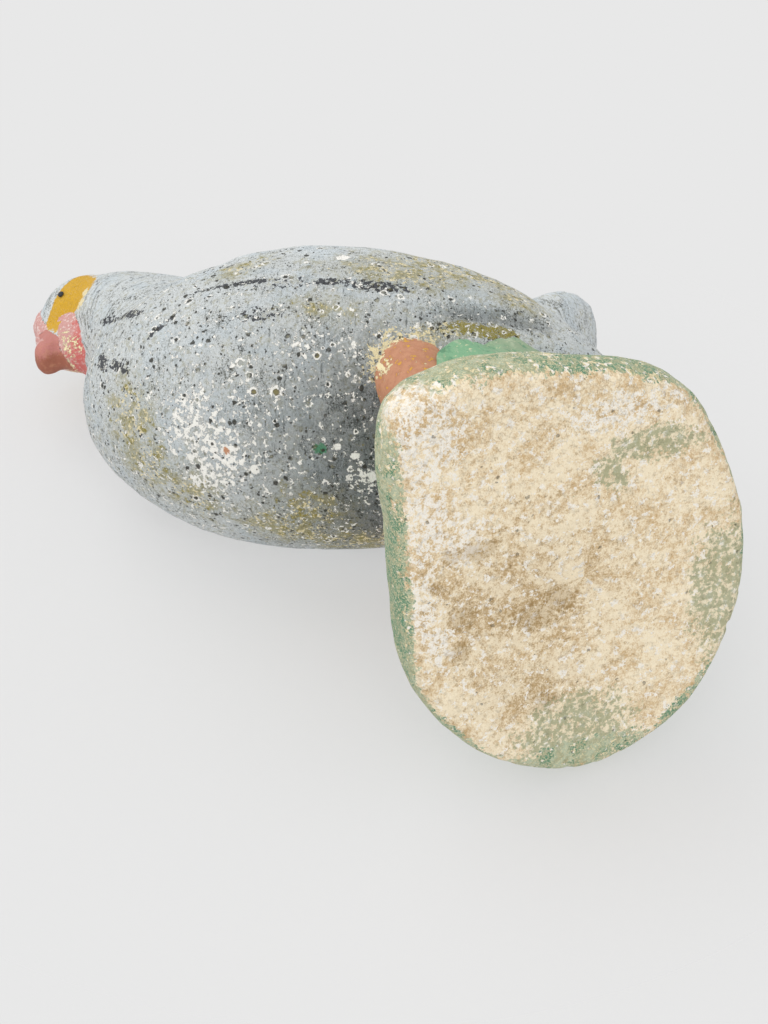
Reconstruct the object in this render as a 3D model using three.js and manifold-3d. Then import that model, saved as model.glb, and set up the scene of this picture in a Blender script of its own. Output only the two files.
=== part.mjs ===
// Garden hen of painted cement on a grassy base: castings keyed together over iron rods.
// Millimetres, +Z up, head towards -Y, the hen's left side towards +X.
// The origin lies near the middle of the base's flat underside.

import * as THREE from "three";
import { mergeVertices } from "three/addons/utils/BufferGeometryUtils.js";
import Module from "manifold-3d";

const wasm = await Module();
wasm.setup();

const degrees = THREE.MathUtils.degToRad;

// Clearances
const BED = 0.3; // bed of neat cement between two castings
const GROUT = 0.4; // grout round a rod or a key and past its ends

// Base slab, poured by hand in an uneven frame
const BASE_LENGTH = 129;
const BASE_WIDTH = 170;
const BASE_THICKNESS = 21;
const BASE_LOWER_ROUND = 6;
const BASE_UPPER_ROUND = 7;

// Body, an egg with its blunt end at the breast
const BODY_LENGTH = 209;
const BODY_WIDTH = 115;
const BODY_BACK = 55; // from the widest line up to the back
const BODY_BELLY = 55; // from the widest line down to the belly
const BODY_TAPER = 0.1; // how much slimmer the rump is than the breast
const BODY_AHEAD = 31; // middle of the body ahead of the base's middle
const BODY_STANCE = 126; // middle of the body above the base
const BODY_PITCH = degrees(28); // breast carried high

// Wings, raised on the flanks
const WING_RELIEF = 2.6;
const WING_EDGE = 1.2;
const WING_FRONT = 52; // from the body's middle to the shoulder
const WING_REAR = 74; // from the body's middle to the wing's point
const WING_LINE = degrees(38); // middle line of the wing above the body's widest line
const WING_HALF_SPAN = degrees(25);
const WING_FULLEST = 0.37; // share of the wing's length behind the shoulder
const WING_KEY_RADIUS = 5;
const WING_KEY_DEPTH = 9;

// Neck, from its root inside the shoulders to the nape
const NECK_ROOT_RADIUS = 40;
const NECK_TOP_RADIUS = 19;
const NECK_FULLNESS = 0.8; // 1 is a plain cone, less is fuller
const NECK_CROWN = 12; // rounding of the neck past the nape, round the back of the head
const NECK_SETBACK = 46; // from the breast back to the root, along the body
const NECK_SUNK = 42; // root below the back
const NECK_RISE = 80;
const NECK_REACH = 24;
const NECK_BOW = 4;

// Head and what it carries, in the head's own frame
const HEAD_LENGTH = 42;
const HEAD_WIDTH = 38;
const HEAD_HEIGHT = 37;
const HEAD_PITCH = degrees(40); // bowed
const NAPE_BACK = 6; // the neck's axis meets the head behind its middle
const NAPE_DROP = 4;
const BEAK_LENGTH = 17; // from the face to the blunt tip
const BEAK_WIDTH = 19;
const BEAK_HEIGHT = 16;
const BEAK_NARROWING = 0.37; // share of its width lost on the way to the tip
const BEAK_TIP_ROUND = 5;
const BEAK_TIP_BLUNT = 0.55; // share of the width left at the very end
const BEAK_DROP = 3; // root below the head's middle line
const BEAK_HOOK = 3; // tip below the root
const COMB_HEIGHT = 2.6;
const COMB_THICKNESS = 12;
const COMB_FRONT = degrees(-2); // angles above the beak's line
const COMB_REAR = degrees(92);
const WATTLE_LENGTH = 26;
const WATTLE_WIDTH = 18;
const WATTLE_THICKNESS = 12;
const WATTLE_TAPER = 0.25; // how much slimmer it is at the seat than at its foot
const WATTLE_TURN = degrees(22); // from the beak's line round to the side
const WATTLE_RISE = degrees(-25);
const WATTLE_HANG = 7; // from the seat down to the wattle's middle
const EYE_RADIUS = 2;
const EYE_TURN = degrees(60);
const EYE_RISE = degrees(10);
const KEY_RADIUS = 2.5;
const KEY_DEPTH = 6; // a key's reach into the head
const KEY_HOLD = 3; // a key's reach into the piece it holds

// Tail, a short fan carried up from the rump
const TAIL_LENGTH = 57;
const TAIL_ROOT_WIDTH = 58;
const TAIL_FAN_WIDTH = 57;
const TAIL_ROOT_THICKNESS = 45;
const TAIL_FAN_THICKNESS = 25;
const TAIL_SQUARENESS = 3.8; // 2 is a round end, more is squarer
const TAIL_PITCH = degrees(34);
const TAIL_SEAT = 43.5; // root inside the rump
const TAIL_RAISED = 15.5; // root above the body's middle line

// Legs and feet
const LEG_INSET = 28.5; // from the body's flank in to the leg's middle
const LEG_AHEAD = 21; // ahead of the base's middle
const THIGH_RADIUS = 15;
const THIGH_START = 0.62; // share of the leg's height where it is full
const ANKLE_RADIUS = 9;
const FOOT_HEIGHT = 8;
const TOE_LENGTH = 30;
const TOE_RADIUS = 5;
const TOE_FAN = degrees(36);

// Grass mound that props the belly behind the legs
const MOUND_OUTSET = 7; // from the leg's middle out to the middle of the foremost lobe
const MOUND_REACH = 38; // from the foremost lobes back to the rearmost
const MOUND_AHEAD = 7; // foremost lobes ahead of the base's middle
const MOUND_LOBE_RADIUS = 13;
const MOUND_SKIRT_RADIUS = 23;
const MOUND_LOBE_HEIGHT = 75;
const MOUND_LOBES = 4; // on each side of the rearmost
const MOUND_CORE_RADIUS = 30;

// Iron rods
const LEG_ROD_RADIUS = 4;
const NECK_ROD_RADIUS = 3;
const TAIL_ROD_RADIUS = 2.5;
const LEG_ROD_COVER = 7; // cement under the rod's foot
const LEG_ROD_IN_BODY = 32; // above the lowest point of the belly
const NECK_ROD_IN_BODY = 26; // below the neck's root
const NECK_ROD_IN_HEAD = 6; // past the nape
const TAIL_ROD_IN_BODY = 30; // ahead of the tail's root
const TAIL_ROD_IN_TAIL = 42; // behind the tail's root

// Facets
const AROUND = 36;
const ALONG = 22;
const FEWER_AROUND = 20;
const FEWER_ALONG = 10;
const BAR_SIDES = 12;
const ROUND_STEPS = 3;
const WING_ROWS = 16;
const WING_STRIPS = 8;

// Paints and bare materials
const GREY_PAINT = { color: 0x8f979b, roughness: 0.85, metalness: 0 };
const GREEN_PAINT = { color: 0x4f8f68, roughness: 0.85, metalness: 0 };
const RED_PAINT = { color: 0xd0595f, roughness: 0.8, metalness: 0 };
const BROWN_PAINT = { color: 0xa85f48, roughness: 0.85, metalness: 0 };
const YELLOW_PAINT = { color: 0xdba72a, roughness: 0.8, metalness: 0 };
const BLACK_PAINT = { color: 0x2b2b2a, roughness: 0.8, metalness: 0 };
const IRON = { color: 0x5a4f49, roughness: 0.7, metalness: 0.9 };

const SIDES = [["left", 1], ["right", -1]];

/** One ring of points from a function of the angle. */
function ringOf(count, pointAt) {
  return Array.from({ length: count }, (_, k) => pointAt((2 * Math.PI * k) / count));
}

/** A closed surface through rings of points; a ring of one point is a pole, other ends are capped. */
function loft(rings) {
  const around = Math.max(...rings.map((ring) => ring.length));
  const points = rings.flat();
  const starts = [];
  rings.reduce((start, ring) => {
    starts.push(start);
    return start + ring.length;
  }, 0);
  const corner = (row, k) => starts[row] + (rings[row].length === 1 ? 0 : k % around);
  const triangles = [];
  for (let row = 0; row + 1 < rings.length; row += 1) {
    for (let k = 0; k < around; k += 1) {
      const near = [corner(row, k), corner(row, k + 1)];
      const far = [corner(row + 1, k), corner(row + 1, k + 1)];
      if (rings[row].length > 1) triangles.push(near[0], near[1], far[0]);
      if (rings[row + 1].length > 1) triangles.push(near[1], far[1], far[0]);
    }
  }
  for (const row of [0, rings.length - 1]) {
    if (rings[row].length === 1) continue;
    const middle = rings[row].reduce((sum, point) => sum.add(point), new THREE.Vector3());
    const cap = points.push(middle.divideScalar(around)) - 1;
    for (let k = 0; k < around; k += 1) {
      const edge = [corner(row, k), corner(row, k + 1)];
      if (row === 0) edge.reverse();
      triangles.push(...edge, cap);
    }
  }
  const geometry = new THREE.BufferGeometry().setFromPoints(points);
  geometry.setIndex(triangles);
  return facingOut(geometry);
}

/** Turns every face over if the closed surface is inside out. */
function facingOut(geometry) {
  const index = geometry.index;
  const points = geometry.attributes.position;
  const corners = [new THREE.Vector3(), new THREE.Vector3(), new THREE.Vector3()];
  let volume = 0;
  for (let i = 0; i < index.count; i += 3) {
    corners.forEach((corner, k) => corner.fromBufferAttribute(points, index.getX(i + k)));
    volume += corners[0].dot(corners[1].cross(corners[2]));
  }
  if (volume > 0) return geometry;
  for (let i = 0; i < index.count; i += 3) {
    const second = index.getX(i + 1);
    index.setX(i + 1, index.getX(i + 2));
    index.setX(i + 2, second);
  }
  return geometry;
}

/** A geometry as a solid that can be joined and cut. */
function solid(geometry) {
  const bare = geometry.clone();
  bare.deleteAttribute("normal");
  bare.deleteAttribute("uv");
  const merged = mergeVertices(bare);
  return new wasm.Manifold(new wasm.Mesh({
    numProp: 3,
    vertProperties: Float32Array.from(merged.attributes.position.array),
    triVerts: Uint32Array.from(merged.index.array),
  }));
}

/** A solid back as a geometry. */
function geometryOf(shape) {
  const mesh = shape.getMesh();
  const geometry = new THREE.BufferGeometry();
  geometry.setAttribute("position", new THREE.Float32BufferAttribute(mesh.vertProperties, 3));
  geometry.setIndex(Array.from(mesh.triVerts));
  geometry.computeVertexNormals();
  return geometry;
}

/** A turn about X, then a move to a point. */
function frameAt(point, pitch) {
  return new THREE.Matrix4().makeRotationX(pitch).setPosition(point);
}

/** A point of a frame in the part's own frame. */
function pointIn(frame, x, y, z) {
  return new THREE.Vector3(x, y, z).applyMatrix4(frame);
}

/** Moves a form that stands on the origin, along +Y, onto the line from one point to another. */
function standing(geometry, from, to) {
  const line = new THREE.Vector3().subVectors(to, from).normalize();
  const turn = new THREE.Quaternion().setFromUnitVectors(new THREE.Vector3(0, 1, 0), line);
  return geometry.applyQuaternion(turn).translate(from.x, from.y, from.z);
}

/** A round bar from one point to another. */
function bar(from, to, radius, sides = BAR_SIDES) {
  const length = from.distanceTo(to);
  const geometry = new THREE.CylinderGeometry(radius, radius, length, sides).translate(0, length / 2, 0);
  return solid(standing(geometry, from, to));
}

/** The room for a bar: grout all round it and past both ends. */
function boreFor(from, to, radius) {
  const past = new THREE.Vector3().subVectors(to, from).setLength(GROUT);
  return bar(from.clone().sub(past), to.clone().add(past), radius + GROUT);
}

/** A round column from one radius to another with a domed top. */
function domed(from, to, footRadius, topRadius, sides = FEWER_AROUND) {
  const length = from.distanceTo(to);
  const profile = [new THREE.Vector2(0, 0), new THREE.Vector2(footRadius, 0)];
  for (let k = 0; k < ROUND_STEPS; k += 1) {
    const turn = degrees((90 * k) / ROUND_STEPS);
    const height = length - topRadius * (1 - Math.sin(turn));
    profile.push(new THREE.Vector2(topRadius * Math.cos(turn), height));
  }
  profile.push(new THREE.Vector2(0, length));
  return solid(standing(new THREE.LatheGeometry(profile, sides), from, to));
}

/** How full an egg is at a place from -1 at its blunt end to 1 at its slim end. */
function fullness(place, taper) {
  return Math.sqrt(Math.max(0, 1 - place * place)) * (1 - taper * place);
}

/** An egg along Y with its blunt end at -Y, grown all round by a margin. */
function egg(size, margin, around, along) {
  const rings = [];
  for (let row = 0; row <= along; row += 1) {
    const place = -Math.cos((Math.PI * row) / along);
    const full = fullness(place, size.taper ?? 0);
    const y = place * (size.length / 2 + margin);
    const pole = row === 0 || row === along;
    rings.push(ringOf(pole ? 1 : around, (angle) => {
      const rise = Math.sin(angle) > 0 ? size.top : size.bottom;
      const x = (size.width / 2 + margin) * full * Math.cos(angle);
      return new THREE.Vector3(pole ? 0 : x, y, pole ? 0 : (rise + margin) * full * Math.sin(angle));
    }));
  }
  return loft(rings);
}

// Frames: the body stands over the base, the neck grows from the body and carries the head
const bodyMiddle = new THREE.Vector3(0, -BODY_AHEAD, BASE_THICKNESS + BODY_STANCE);
const bodyFrame = frameAt(bodyMiddle, -BODY_PITCH);
const neckRoot = pointIn(bodyFrame, 0, NECK_SETBACK - BODY_LENGTH / 2, BODY_BACK - NECK_SUNK);
const nape = new THREE.Vector3(0, neckRoot.y - NECK_REACH, neckRoot.z + NECK_RISE);
const headTurn = frameAt(new THREE.Vector3(), HEAD_PITCH);
const headFrame = frameAt(nape.clone().sub(pointIn(headTurn, 0, NAPE_BACK, -NAPE_DROP)), HEAD_PITCH);
const tailRoot = pointIn(bodyFrame, 0, BODY_LENGTH / 2 - TAIL_SEAT, TAIL_RAISED);
const tailFrame = frameAt(tailRoot, TAIL_PITCH);
const ground = BASE_THICKNESS + BED; // where feet and grass stand on the base
const legAcross = BODY_WIDTH / 2 - LEG_INSET;

/** The base's outline: a closed curve through shares of the half sizes, drawn in by an inset. */
function baseOutline(inset, z) {
  const corners = [
    [0.85, -0.94], [0.3, -0.98], [-0.34, -0.93], [-0.6, -0.76], [-0.85, -0.42], [-0.97, 0.05],
    [-0.79, 0.62], [-0.29, 0.93], [0.25, 0.88], [0.72, 0.55], [0.87, 0.05], [0.95, -0.58],
  ];
  const points = corners.map(([across, along]) => new THREE.Vector3(
    across * (BASE_WIDTH / 2 - inset), along * (BASE_LENGTH / 2 - inset), z));
  return new THREE.CatmullRomCurve3(points, true).getSpacedPoints(AROUND + FEWER_AROUND).slice(1);
}

function baseForm() {
  const rings = [];
  for (let k = 0; k <= ROUND_STEPS; k += 1) {
    const turn = degrees((90 * k) / ROUND_STEPS);
    const z = BASE_LOWER_ROUND * (1 - Math.cos(turn));
    rings.push(baseOutline(BASE_LOWER_ROUND * (1 - Math.sin(turn)), z));
  }
  for (let k = 0; k <= ROUND_STEPS; k += 1) {
    const turn = degrees((90 * k) / ROUND_STEPS);
    const z = BASE_THICKNESS - BASE_UPPER_ROUND * (1 - Math.sin(turn));
    rings.push(baseOutline(BASE_UPPER_ROUND * (1 - Math.cos(turn)), z));
  }
  return solid(loft(rings));
}

function bodyForm(margin = 0) {
  const size = {
    length: BODY_LENGTH,
    width: BODY_WIDTH,
    top: BODY_BACK,
    bottom: BODY_BELLY,
    taper: BODY_TAPER,
  };
  return solid(egg(size, margin, AROUND, ALONG).applyMatrix4(bodyFrame));
}

/** A point over the body's skin: a distance back from its middle, an angle up its flank, a lift off it. */
function overBody(back, angle, side, lift) {
  const place = back / (BODY_LENGTH / 2);
  const full = fullness(place, BODY_TAPER);
  const rise = Math.sin(angle) > 0 ? BODY_BACK : BODY_BELLY;
  const x = side * (BODY_WIDTH / 2 + lift) * full * Math.cos(angle);
  return pointIn(bodyFrame, x, place * (BODY_LENGTH / 2 + lift), (rise + lift) * full * Math.sin(angle));
}

/** A wing pad on the flank: full at the shoulder, drawn to a point, thin at its edge. */
function wingForm(side) {
  const rings = [];
  for (let row = 0; row <= WING_ROWS; row += 1) {
    const share = row / WING_ROWS;
    const back = THREE.MathUtils.lerp(-WING_FRONT, WING_REAR, share);
    const swell = Math.sin(Math.PI * Math.pow(share, Math.log(0.5) / Math.log(WING_FULLEST)));
    if (row === 0 || row === WING_ROWS) {
      rings.push([overBody(back, WING_LINE, side, BED + WING_EDGE / 2)]);
      continue;
    }
    const span = WING_HALF_SPAN * Math.sqrt(swell);
    const strip = Array.from({ length: WING_STRIPS + 1 }, (_, k) => (2 * k) / WING_STRIPS - 1);
    const outer = strip.map((reach) => {
      const relief = WING_EDGE + (WING_RELIEF - WING_EDGE) * swell * (1 - reach * reach);
      return overBody(back, WING_LINE + reach * span, side, BED + relief);
    });
    const inner = strip.map((reach) => overBody(back, WING_LINE + reach * span, side, BED));
    rings.push([...outer, ...inner.reverse()]);
  }
  return solid(loft(rings));
}

function neckForm(margin = 0) {
  const bow = new THREE.Vector3().addVectors(neckRoot, nape).divideScalar(2);
  bow.y += NECK_BOW;
  const path = new THREE.QuadraticBezierCurve3(neckRoot, bow, nape);
  const across = new THREE.Vector3(1, 0, 0);
  const rings = [];
  for (let row = 0; row <= FEWER_ALONG; row += 1) {
    const place = row / FEWER_ALONG;
    const swell = Math.pow(1 - place, NECK_FULLNESS);
    const radius = THREE.MathUtils.lerp(NECK_TOP_RADIUS, NECK_ROOT_RADIUS, swell) + margin;
    const middle = path.getPoint(place);
    const fore = new THREE.Vector3().crossVectors(path.getTangent(place), across);
    rings.push(ringOf(FEWER_AROUND, (angle) => middle.clone()
      .addScaledVector(across, radius * Math.cos(angle))
      .addScaledVector(fore, radius * Math.sin(angle))));
  }
  const up = path.getTangent(1);
  const fore = new THREE.Vector3().crossVectors(up, across);
  for (let k = 1; k <= ROUND_STEPS; k += 1) {
    const turn = degrees((90 * k) / ROUND_STEPS);
    const radius = (NECK_TOP_RADIUS + margin) * Math.cos(turn);
    const middle = nape.clone().addScaledVector(up, (NECK_CROWN + margin) * Math.sin(turn));
    rings.push(ringOf(k === ROUND_STEPS ? 1 : FEWER_AROUND, (angle) => middle.clone()
      .addScaledVector(across, radius * Math.cos(angle))
      .addScaledVector(fore, radius * Math.sin(angle))));
  }
  return solid(loft(rings));
}

function headForm(margin = 0) {
  const size = { length: HEAD_LENGTH, width: HEAD_WIDTH, top: HEAD_HEIGHT / 2, bottom: HEAD_HEIGHT / 2 };
  return solid(egg(size, margin, FEWER_AROUND, FEWER_ALONG).applyMatrix4(headFrame));
}

/** A blunt beak that droops a little to its rounded tip. */
function beakForm(margin = 0) {
  const tip = HEAD_LENGTH / 2 + BEAK_LENGTH;
  const rings = [];
  for (let row = 0; row <= FEWER_ALONG; row += 1) {
    const share = row / FEWER_ALONG;
    const rounding = Math.max(0, 1 - ((1 - share) * tip) / BEAK_TIP_ROUND);
    const slim = (1 - BEAK_NARROWING * share) * Math.sqrt(1 - (1 - BEAK_TIP_BLUNT ** 2) * rounding ** 2);
    const z = -BEAK_DROP - BEAK_HOOK * share ** 2;
    rings.push(ringOf(FEWER_AROUND, (angle) => pointIn(
      headFrame,
      ((BEAK_WIDTH / 2) * slim + margin) * Math.cos(angle),
      -share * tip - margin * rounding,
      z + ((BEAK_HEIGHT / 2) * slim + margin) * Math.sin(angle),
    )));
  }
  return solid(loft(rings));
}

/** A point on the head's skin: turned from the beak's line to a side, then raised towards the crown. */
function onFace(turn, rise) {
  return pointIn(
    headFrame,
    (HEAD_WIDTH / 2) * Math.cos(rise) * Math.sin(turn),
    (-HEAD_LENGTH / 2) * Math.cos(rise) * Math.cos(turn),
    (HEAD_HEIGHT / 2) * Math.sin(rise),
  );
}

/** A low rounded comb that runs over the brow from the beak to the crown. */
function combForm() {
  const middle = new THREE.Vector3().setFromMatrixPosition(headFrame);
  const rings = [];
  for (let row = 0; row <= FEWER_ALONG; row += 1) {
    const share = row / FEWER_ALONG;
    const seat = onFace(0, THREE.MathUtils.lerp(COMB_FRONT, COMB_REAR, share));
    const out = seat.clone().sub(middle).normalize();
    const swell = Math.sqrt(Math.sin(Math.PI * share));
    const pole = row === 0 || row === FEWER_ALONG;
    rings.push(ringOf(pole ? 1 : FEWER_AROUND, (angle) => pole ? seat : seat.clone()
      .addScaledVector(new THREE.Vector3(1, 0, 0), (COMB_THICKNESS / 2) * swell * Math.cos(angle))
      .addScaledVector(out, COMB_HEIGHT * swell * Math.sin(angle))));
  }
  return solid(loft(rings));
}

/** A wattle: a flat drop that hangs plumb from its seat behind the beak, fullest near its foot. */
function wattleForm(seat) {
  const size = {
    length: WATTLE_LENGTH,
    width: WATTLE_THICKNESS,
    top: WATTLE_WIDTH / 2,
    bottom: WATTLE_WIDTH / 2,
    taper: WATTLE_TAPER,
  };
  const drop = egg(size, 0, FEWER_AROUND, FEWER_ALONG).rotateX(degrees(90));
  return solid(drop.translate(seat.x, seat.y, seat.z - WATTLE_HANG));
}

/** A short fan of a tail, domed at its end. */
function tailForm(margin = 0) {
  const rings = [];
  for (let row = 0; row <= FEWER_ALONG; row += 1) {
    const place = Math.sin(degrees((90 * row) / FEWER_ALONG));
    const dome = Math.sqrt(Math.max(0, 1 - Math.pow(place, TAIL_SQUARENESS)));
    const halfWidth = (THREE.MathUtils.lerp(TAIL_ROOT_WIDTH, TAIL_FAN_WIDTH, place) * dome) / 2;
    const halfThickness = (THREE.MathUtils.lerp(TAIL_ROOT_THICKNESS, TAIL_FAN_THICKNESS, place) * dome) / 2;
    const pole = row === FEWER_ALONG;
    rings.push(ringOf(pole ? 1 : FEWER_AROUND, (angle) => pointIn(
      tailFrame,
      pole ? 0 : (halfWidth + margin) * Math.cos(angle),
      place * (TAIL_LENGTH + margin),
      pole ? 0 : (halfThickness + margin) * Math.sin(angle),
    )));
  }
  return solid(loft(rings));
}

/** A leg from the foot up into the belly, swelling to the thigh. */
function legForm(side, margin = 0) {
  const foot = new THREE.Vector3(side * legAcross, -LEG_AHEAD, ground + FOOT_HEIGHT + BED - margin);
  const height = bodyMiddle.z - foot.z;
  const profile = [new THREE.Vector2(0, 0)];
  for (let k = 0; k <= FEWER_ALONG; k += 1) {
    const share = k / FEWER_ALONG;
    const swell = 0.5 - 0.5 * Math.cos(Math.PI * Math.min(1, share / THIGH_START));
    const radius = THREE.MathUtils.lerp(ANKLE_RADIUS, THIGH_RADIUS, swell) + margin;
    profile.push(new THREE.Vector2(radius, share * height));
  }
  profile.push(new THREE.Vector2(0, height));
  const hip = foot.clone().setZ(foot.z + height);
  return solid(standing(new THREE.LatheGeometry(profile, FEWER_AROUND), foot, hip));
}

/** A foot: a round ankle pad with three toes fanned out in front; the hind toe is lost in the grass. */
function footForm(side, margin = 0) {
  const heel = new THREE.Vector3(side * legAcross, -LEG_AHEAD, ground);
  const top = heel.clone().setZ(ground + FOOT_HEIGHT + margin);
  let foot = bar(heel, top, ANKLE_RADIUS + margin, FEWER_AROUND);
  for (const turn of [-TOE_FAN, 0, TOE_FAN]) {
    const knuckle = heel.clone().setZ(ground + FOOT_HEIGHT - TOE_RADIUS);
    const tip = knuckle.clone();
    tip.x += (TOE_LENGTH + margin) * Math.sin(turn);
    tip.y -= (TOE_LENGTH + margin) * Math.cos(turn);
    foot = foot.add(domed(knuckle, tip, TOE_RADIUS + margin, TOE_RADIUS + margin, BAR_SIDES));
  }
  const height = FOOT_HEIGHT + margin;
  const aboveGround = new THREE.BoxGeometry(BASE_WIDTH, BASE_LENGTH, height);
  return foot.intersect(solid(aboveGround.translate(0, 0, ground + height / 2)));
}

/** Lobes of grass in a half ring behind the legs, round a core under the belly. */
function moundForm() {
  const coreTop = new THREE.Vector3(0, -MOUND_AHEAD, bodyMiddle.z);
  let mound = bar(coreTop.clone().setZ(ground), coreTop, MOUND_CORE_RADIUS, AROUND);
  for (let lobe = -MOUND_LOBES; lobe <= MOUND_LOBES; lobe += 1) {
    const turn = degrees((90 * lobe) / MOUND_LOBES);
    const across = (legAcross + MOUND_OUTSET) * Math.sin(turn);
    const foot = new THREE.Vector3(across, MOUND_REACH * Math.cos(turn) - MOUND_AHEAD, ground);
    const tip = foot.clone().setZ(BASE_THICKNESS + MOUND_LOBE_HEIGHT);
    mound = mound.add(domed(foot, tip, MOUND_SKIRT_RADIUS, MOUND_LOBE_RADIUS));
  }
  return mound;
}

const group = new THREE.Group();
group.name = "garden_hen";

function addPiece(name, shape, paint) {
  const mesh = new THREE.Mesh(geometryOf(shape), new THREE.MeshStandardMaterial(paint));
  mesh.name = name;
  group.add(mesh);
}

// Rods, and the bores that they run in
const rods = [];
function addRod(name, from, to, radius) {
  rods.push({ shape: bar(from, to, radius), bore: boreFor(from, to, radius) });
  addPiece(name, rods.at(-1).shape, IRON);
}
for (const [name, side] of SIDES) {
  const foot = new THREE.Vector3(side * legAcross, -LEG_AHEAD, LEG_ROD_COVER);
  const end = foot.clone().setZ(bodyMiddle.z - BODY_BELLY + LEG_ROD_IN_BODY);
  addRod(`${name}_leg_rod`, foot, end, LEG_ROD_RADIUS);
}
const neckLine = new THREE.Vector3().subVectors(nape, neckRoot).normalize();
addRod(
  "neck_rod",
  neckRoot.clone().addScaledVector(neckLine, -NECK_ROD_IN_BODY),
  nape.clone().addScaledVector(neckLine, NECK_ROD_IN_HEAD),
  NECK_ROD_RADIUS,
);
addRod(
  "tail_rod",
  pointIn(tailFrame, 0, -TAIL_ROD_IN_BODY, 0),
  pointIn(tailFrame, 0, TAIL_ROD_IN_TAIL, 0),
  TAIL_ROD_RADIUS,
);
const bored = (shape) => rods.reduce((left, rod) => left.subtract(rod.bore), shape);

// Base, feet, legs and grass
const bodyRoom = bodyForm(BED);
addPiece("base_slab", bored(baseForm()), GREEN_PAINT);
let mound = moundForm().subtract(bodyRoom);
for (const [name, side] of SIDES) {
  addPiece(`${name}_foot`, bored(footForm(side)), BROWN_PAINT);
  addPiece(`${name}_leg`, bored(legForm(side).subtract(bodyRoom)), BROWN_PAINT);
  mound = mound.subtract(footForm(side, BED)).subtract(legForm(side, BED));
}
addPiece("grass_mound", mound, GREEN_PAINT);

// Head with its keyed pieces
const headRoom = headForm(BED);
const neckRoom = neckForm(BED);
let head = bored(headForm());
let neck = bored(neckForm().subtract(bodyRoom).subtract(headRoom));

/** A piece seated on the head by a key, with the key's socket in the head and where it grazes the neck. */
function addKeyed(name, shape, seat, paint, beside) {
  const inward = new THREE.Vector3().setFromMatrixPosition(headFrame).sub(seat).normalize();
  const inner = seat.clone().addScaledVector(inward, KEY_DEPTH);
  const outer = seat.clone().addScaledVector(inward, -KEY_HOLD);
  const socket = boreFor(inner, outer, KEY_RADIUS);
  head = head.subtract(socket);
  neck = neck.subtract(socket);
  const seated = shape.subtract(headRoom).subtract(neckRoom).add(bar(inner, outer, KEY_RADIUS));
  addPiece(name, beside ? seated.subtract(beside) : seated, paint);
}
const beakRoom = beakForm(BED);
addKeyed("beak", beakForm(), onFace(0, -Math.asin(BEAK_DROP / (HEAD_HEIGHT / 2))), BROWN_PAINT);
addKeyed("comb", combForm(), onFace(0, (COMB_FRONT + COMB_REAR) / 2), RED_PAINT, beakRoom);
for (const [name, side] of SIDES) {
  const seat = onFace(side * WATTLE_TURN, WATTLE_RISE);
  addKeyed(`${name}_wattle`, wattleForm(seat), seat, RED_PAINT, beakRoom);

  const socket = onFace(side * EYE_TURN, EYE_RISE).toArray();
  const eyeball = (margin) => solid(new THREE.SphereGeometry(EYE_RADIUS + margin, BAR_SIDES, FEWER_ALONG));
  head = head.subtract(eyeball(BED).translate(socket));
  neck = neck.subtract(eyeball(BED).translate(socket));
  addPiece(`${name}_eye`, eyeball(0).translate(socket), BLACK_PAINT);
}
addPiece("head", head, YELLOW_PAINT);
addPiece("neck", neck, GREY_PAINT);

// Body with the wings and tail
let body = bored(bodyForm());
for (const [name, side] of SIDES) {
  const key = [overBody(0, WING_LINE, side, -WING_KEY_DEPTH), overBody(0, WING_LINE, side, BED + WING_EDGE)];
  body = body.subtract(boreFor(...key, WING_KEY_RADIUS));
  const pad = wingForm(side).subtract(neckRoom).subtract(tailForm(BED));
  addPiece(`${name}_wing`, pad.add(bar(...key, WING_KEY_RADIUS)), GREY_PAINT);
}
addPiece("tail", bored(tailForm().subtract(bodyRoom)), GREY_PAINT);
addPiece("body", body, GREY_PAINT);

export default group;
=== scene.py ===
"""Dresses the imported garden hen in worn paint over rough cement, laid out as an add-on."""

import math
from functools import partialmethod

import bmesh
import bpy
from bpy.props import FloatProperty, FloatVectorProperty, IntProperty, PointerProperty
from mathutils import Matrix, Vector, noise
from mathutils.bvhtree import BVHTree


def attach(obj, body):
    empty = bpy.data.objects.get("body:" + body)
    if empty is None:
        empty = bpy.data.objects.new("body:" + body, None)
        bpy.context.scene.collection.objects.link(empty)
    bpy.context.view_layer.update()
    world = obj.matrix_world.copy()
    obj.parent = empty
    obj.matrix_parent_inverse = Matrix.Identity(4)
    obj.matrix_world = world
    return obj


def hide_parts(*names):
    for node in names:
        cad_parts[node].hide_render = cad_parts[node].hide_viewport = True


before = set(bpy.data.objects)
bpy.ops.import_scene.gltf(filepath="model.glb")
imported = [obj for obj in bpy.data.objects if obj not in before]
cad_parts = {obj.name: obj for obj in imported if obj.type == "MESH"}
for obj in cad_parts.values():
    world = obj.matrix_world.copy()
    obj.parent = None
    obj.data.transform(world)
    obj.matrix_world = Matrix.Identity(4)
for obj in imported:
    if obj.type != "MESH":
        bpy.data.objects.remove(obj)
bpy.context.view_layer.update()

bl_info = {
    "name": "Garden Hen",
    "version": (1, 0, 0),
    "blender": (4, 5, 0),
    "location": "View3D > Sidebar > Garden Hen",
    "description": "Builds a worn, painted cement hen over its packed castings",
    "category": "Object",
}

MM = 0.001
ORIGIN = (0.0, 0.0, 0.0)
PLUMAGE = ("body", "neck", "head", "left_wing", "right_wing", "tail")
FACE = ("comb", "beak", "left_wattle", "right_wattle")

# Places on the hen, in millimetres of the shared frame
BODY_MIDDLE = (0.0, -31.0, 147.0)
BODY_PITCH = math.radians(28.0)
BODY_ROUND = 48.0
HEAD_MIDDLE = (0.0, -107.7, 265.2)
HEAD_PITCH = math.radians(40.0)
TAIL_ROOT = (0.0, 30.1, 132.1)
TAIL_PITCH = math.radians(34.0)

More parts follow.
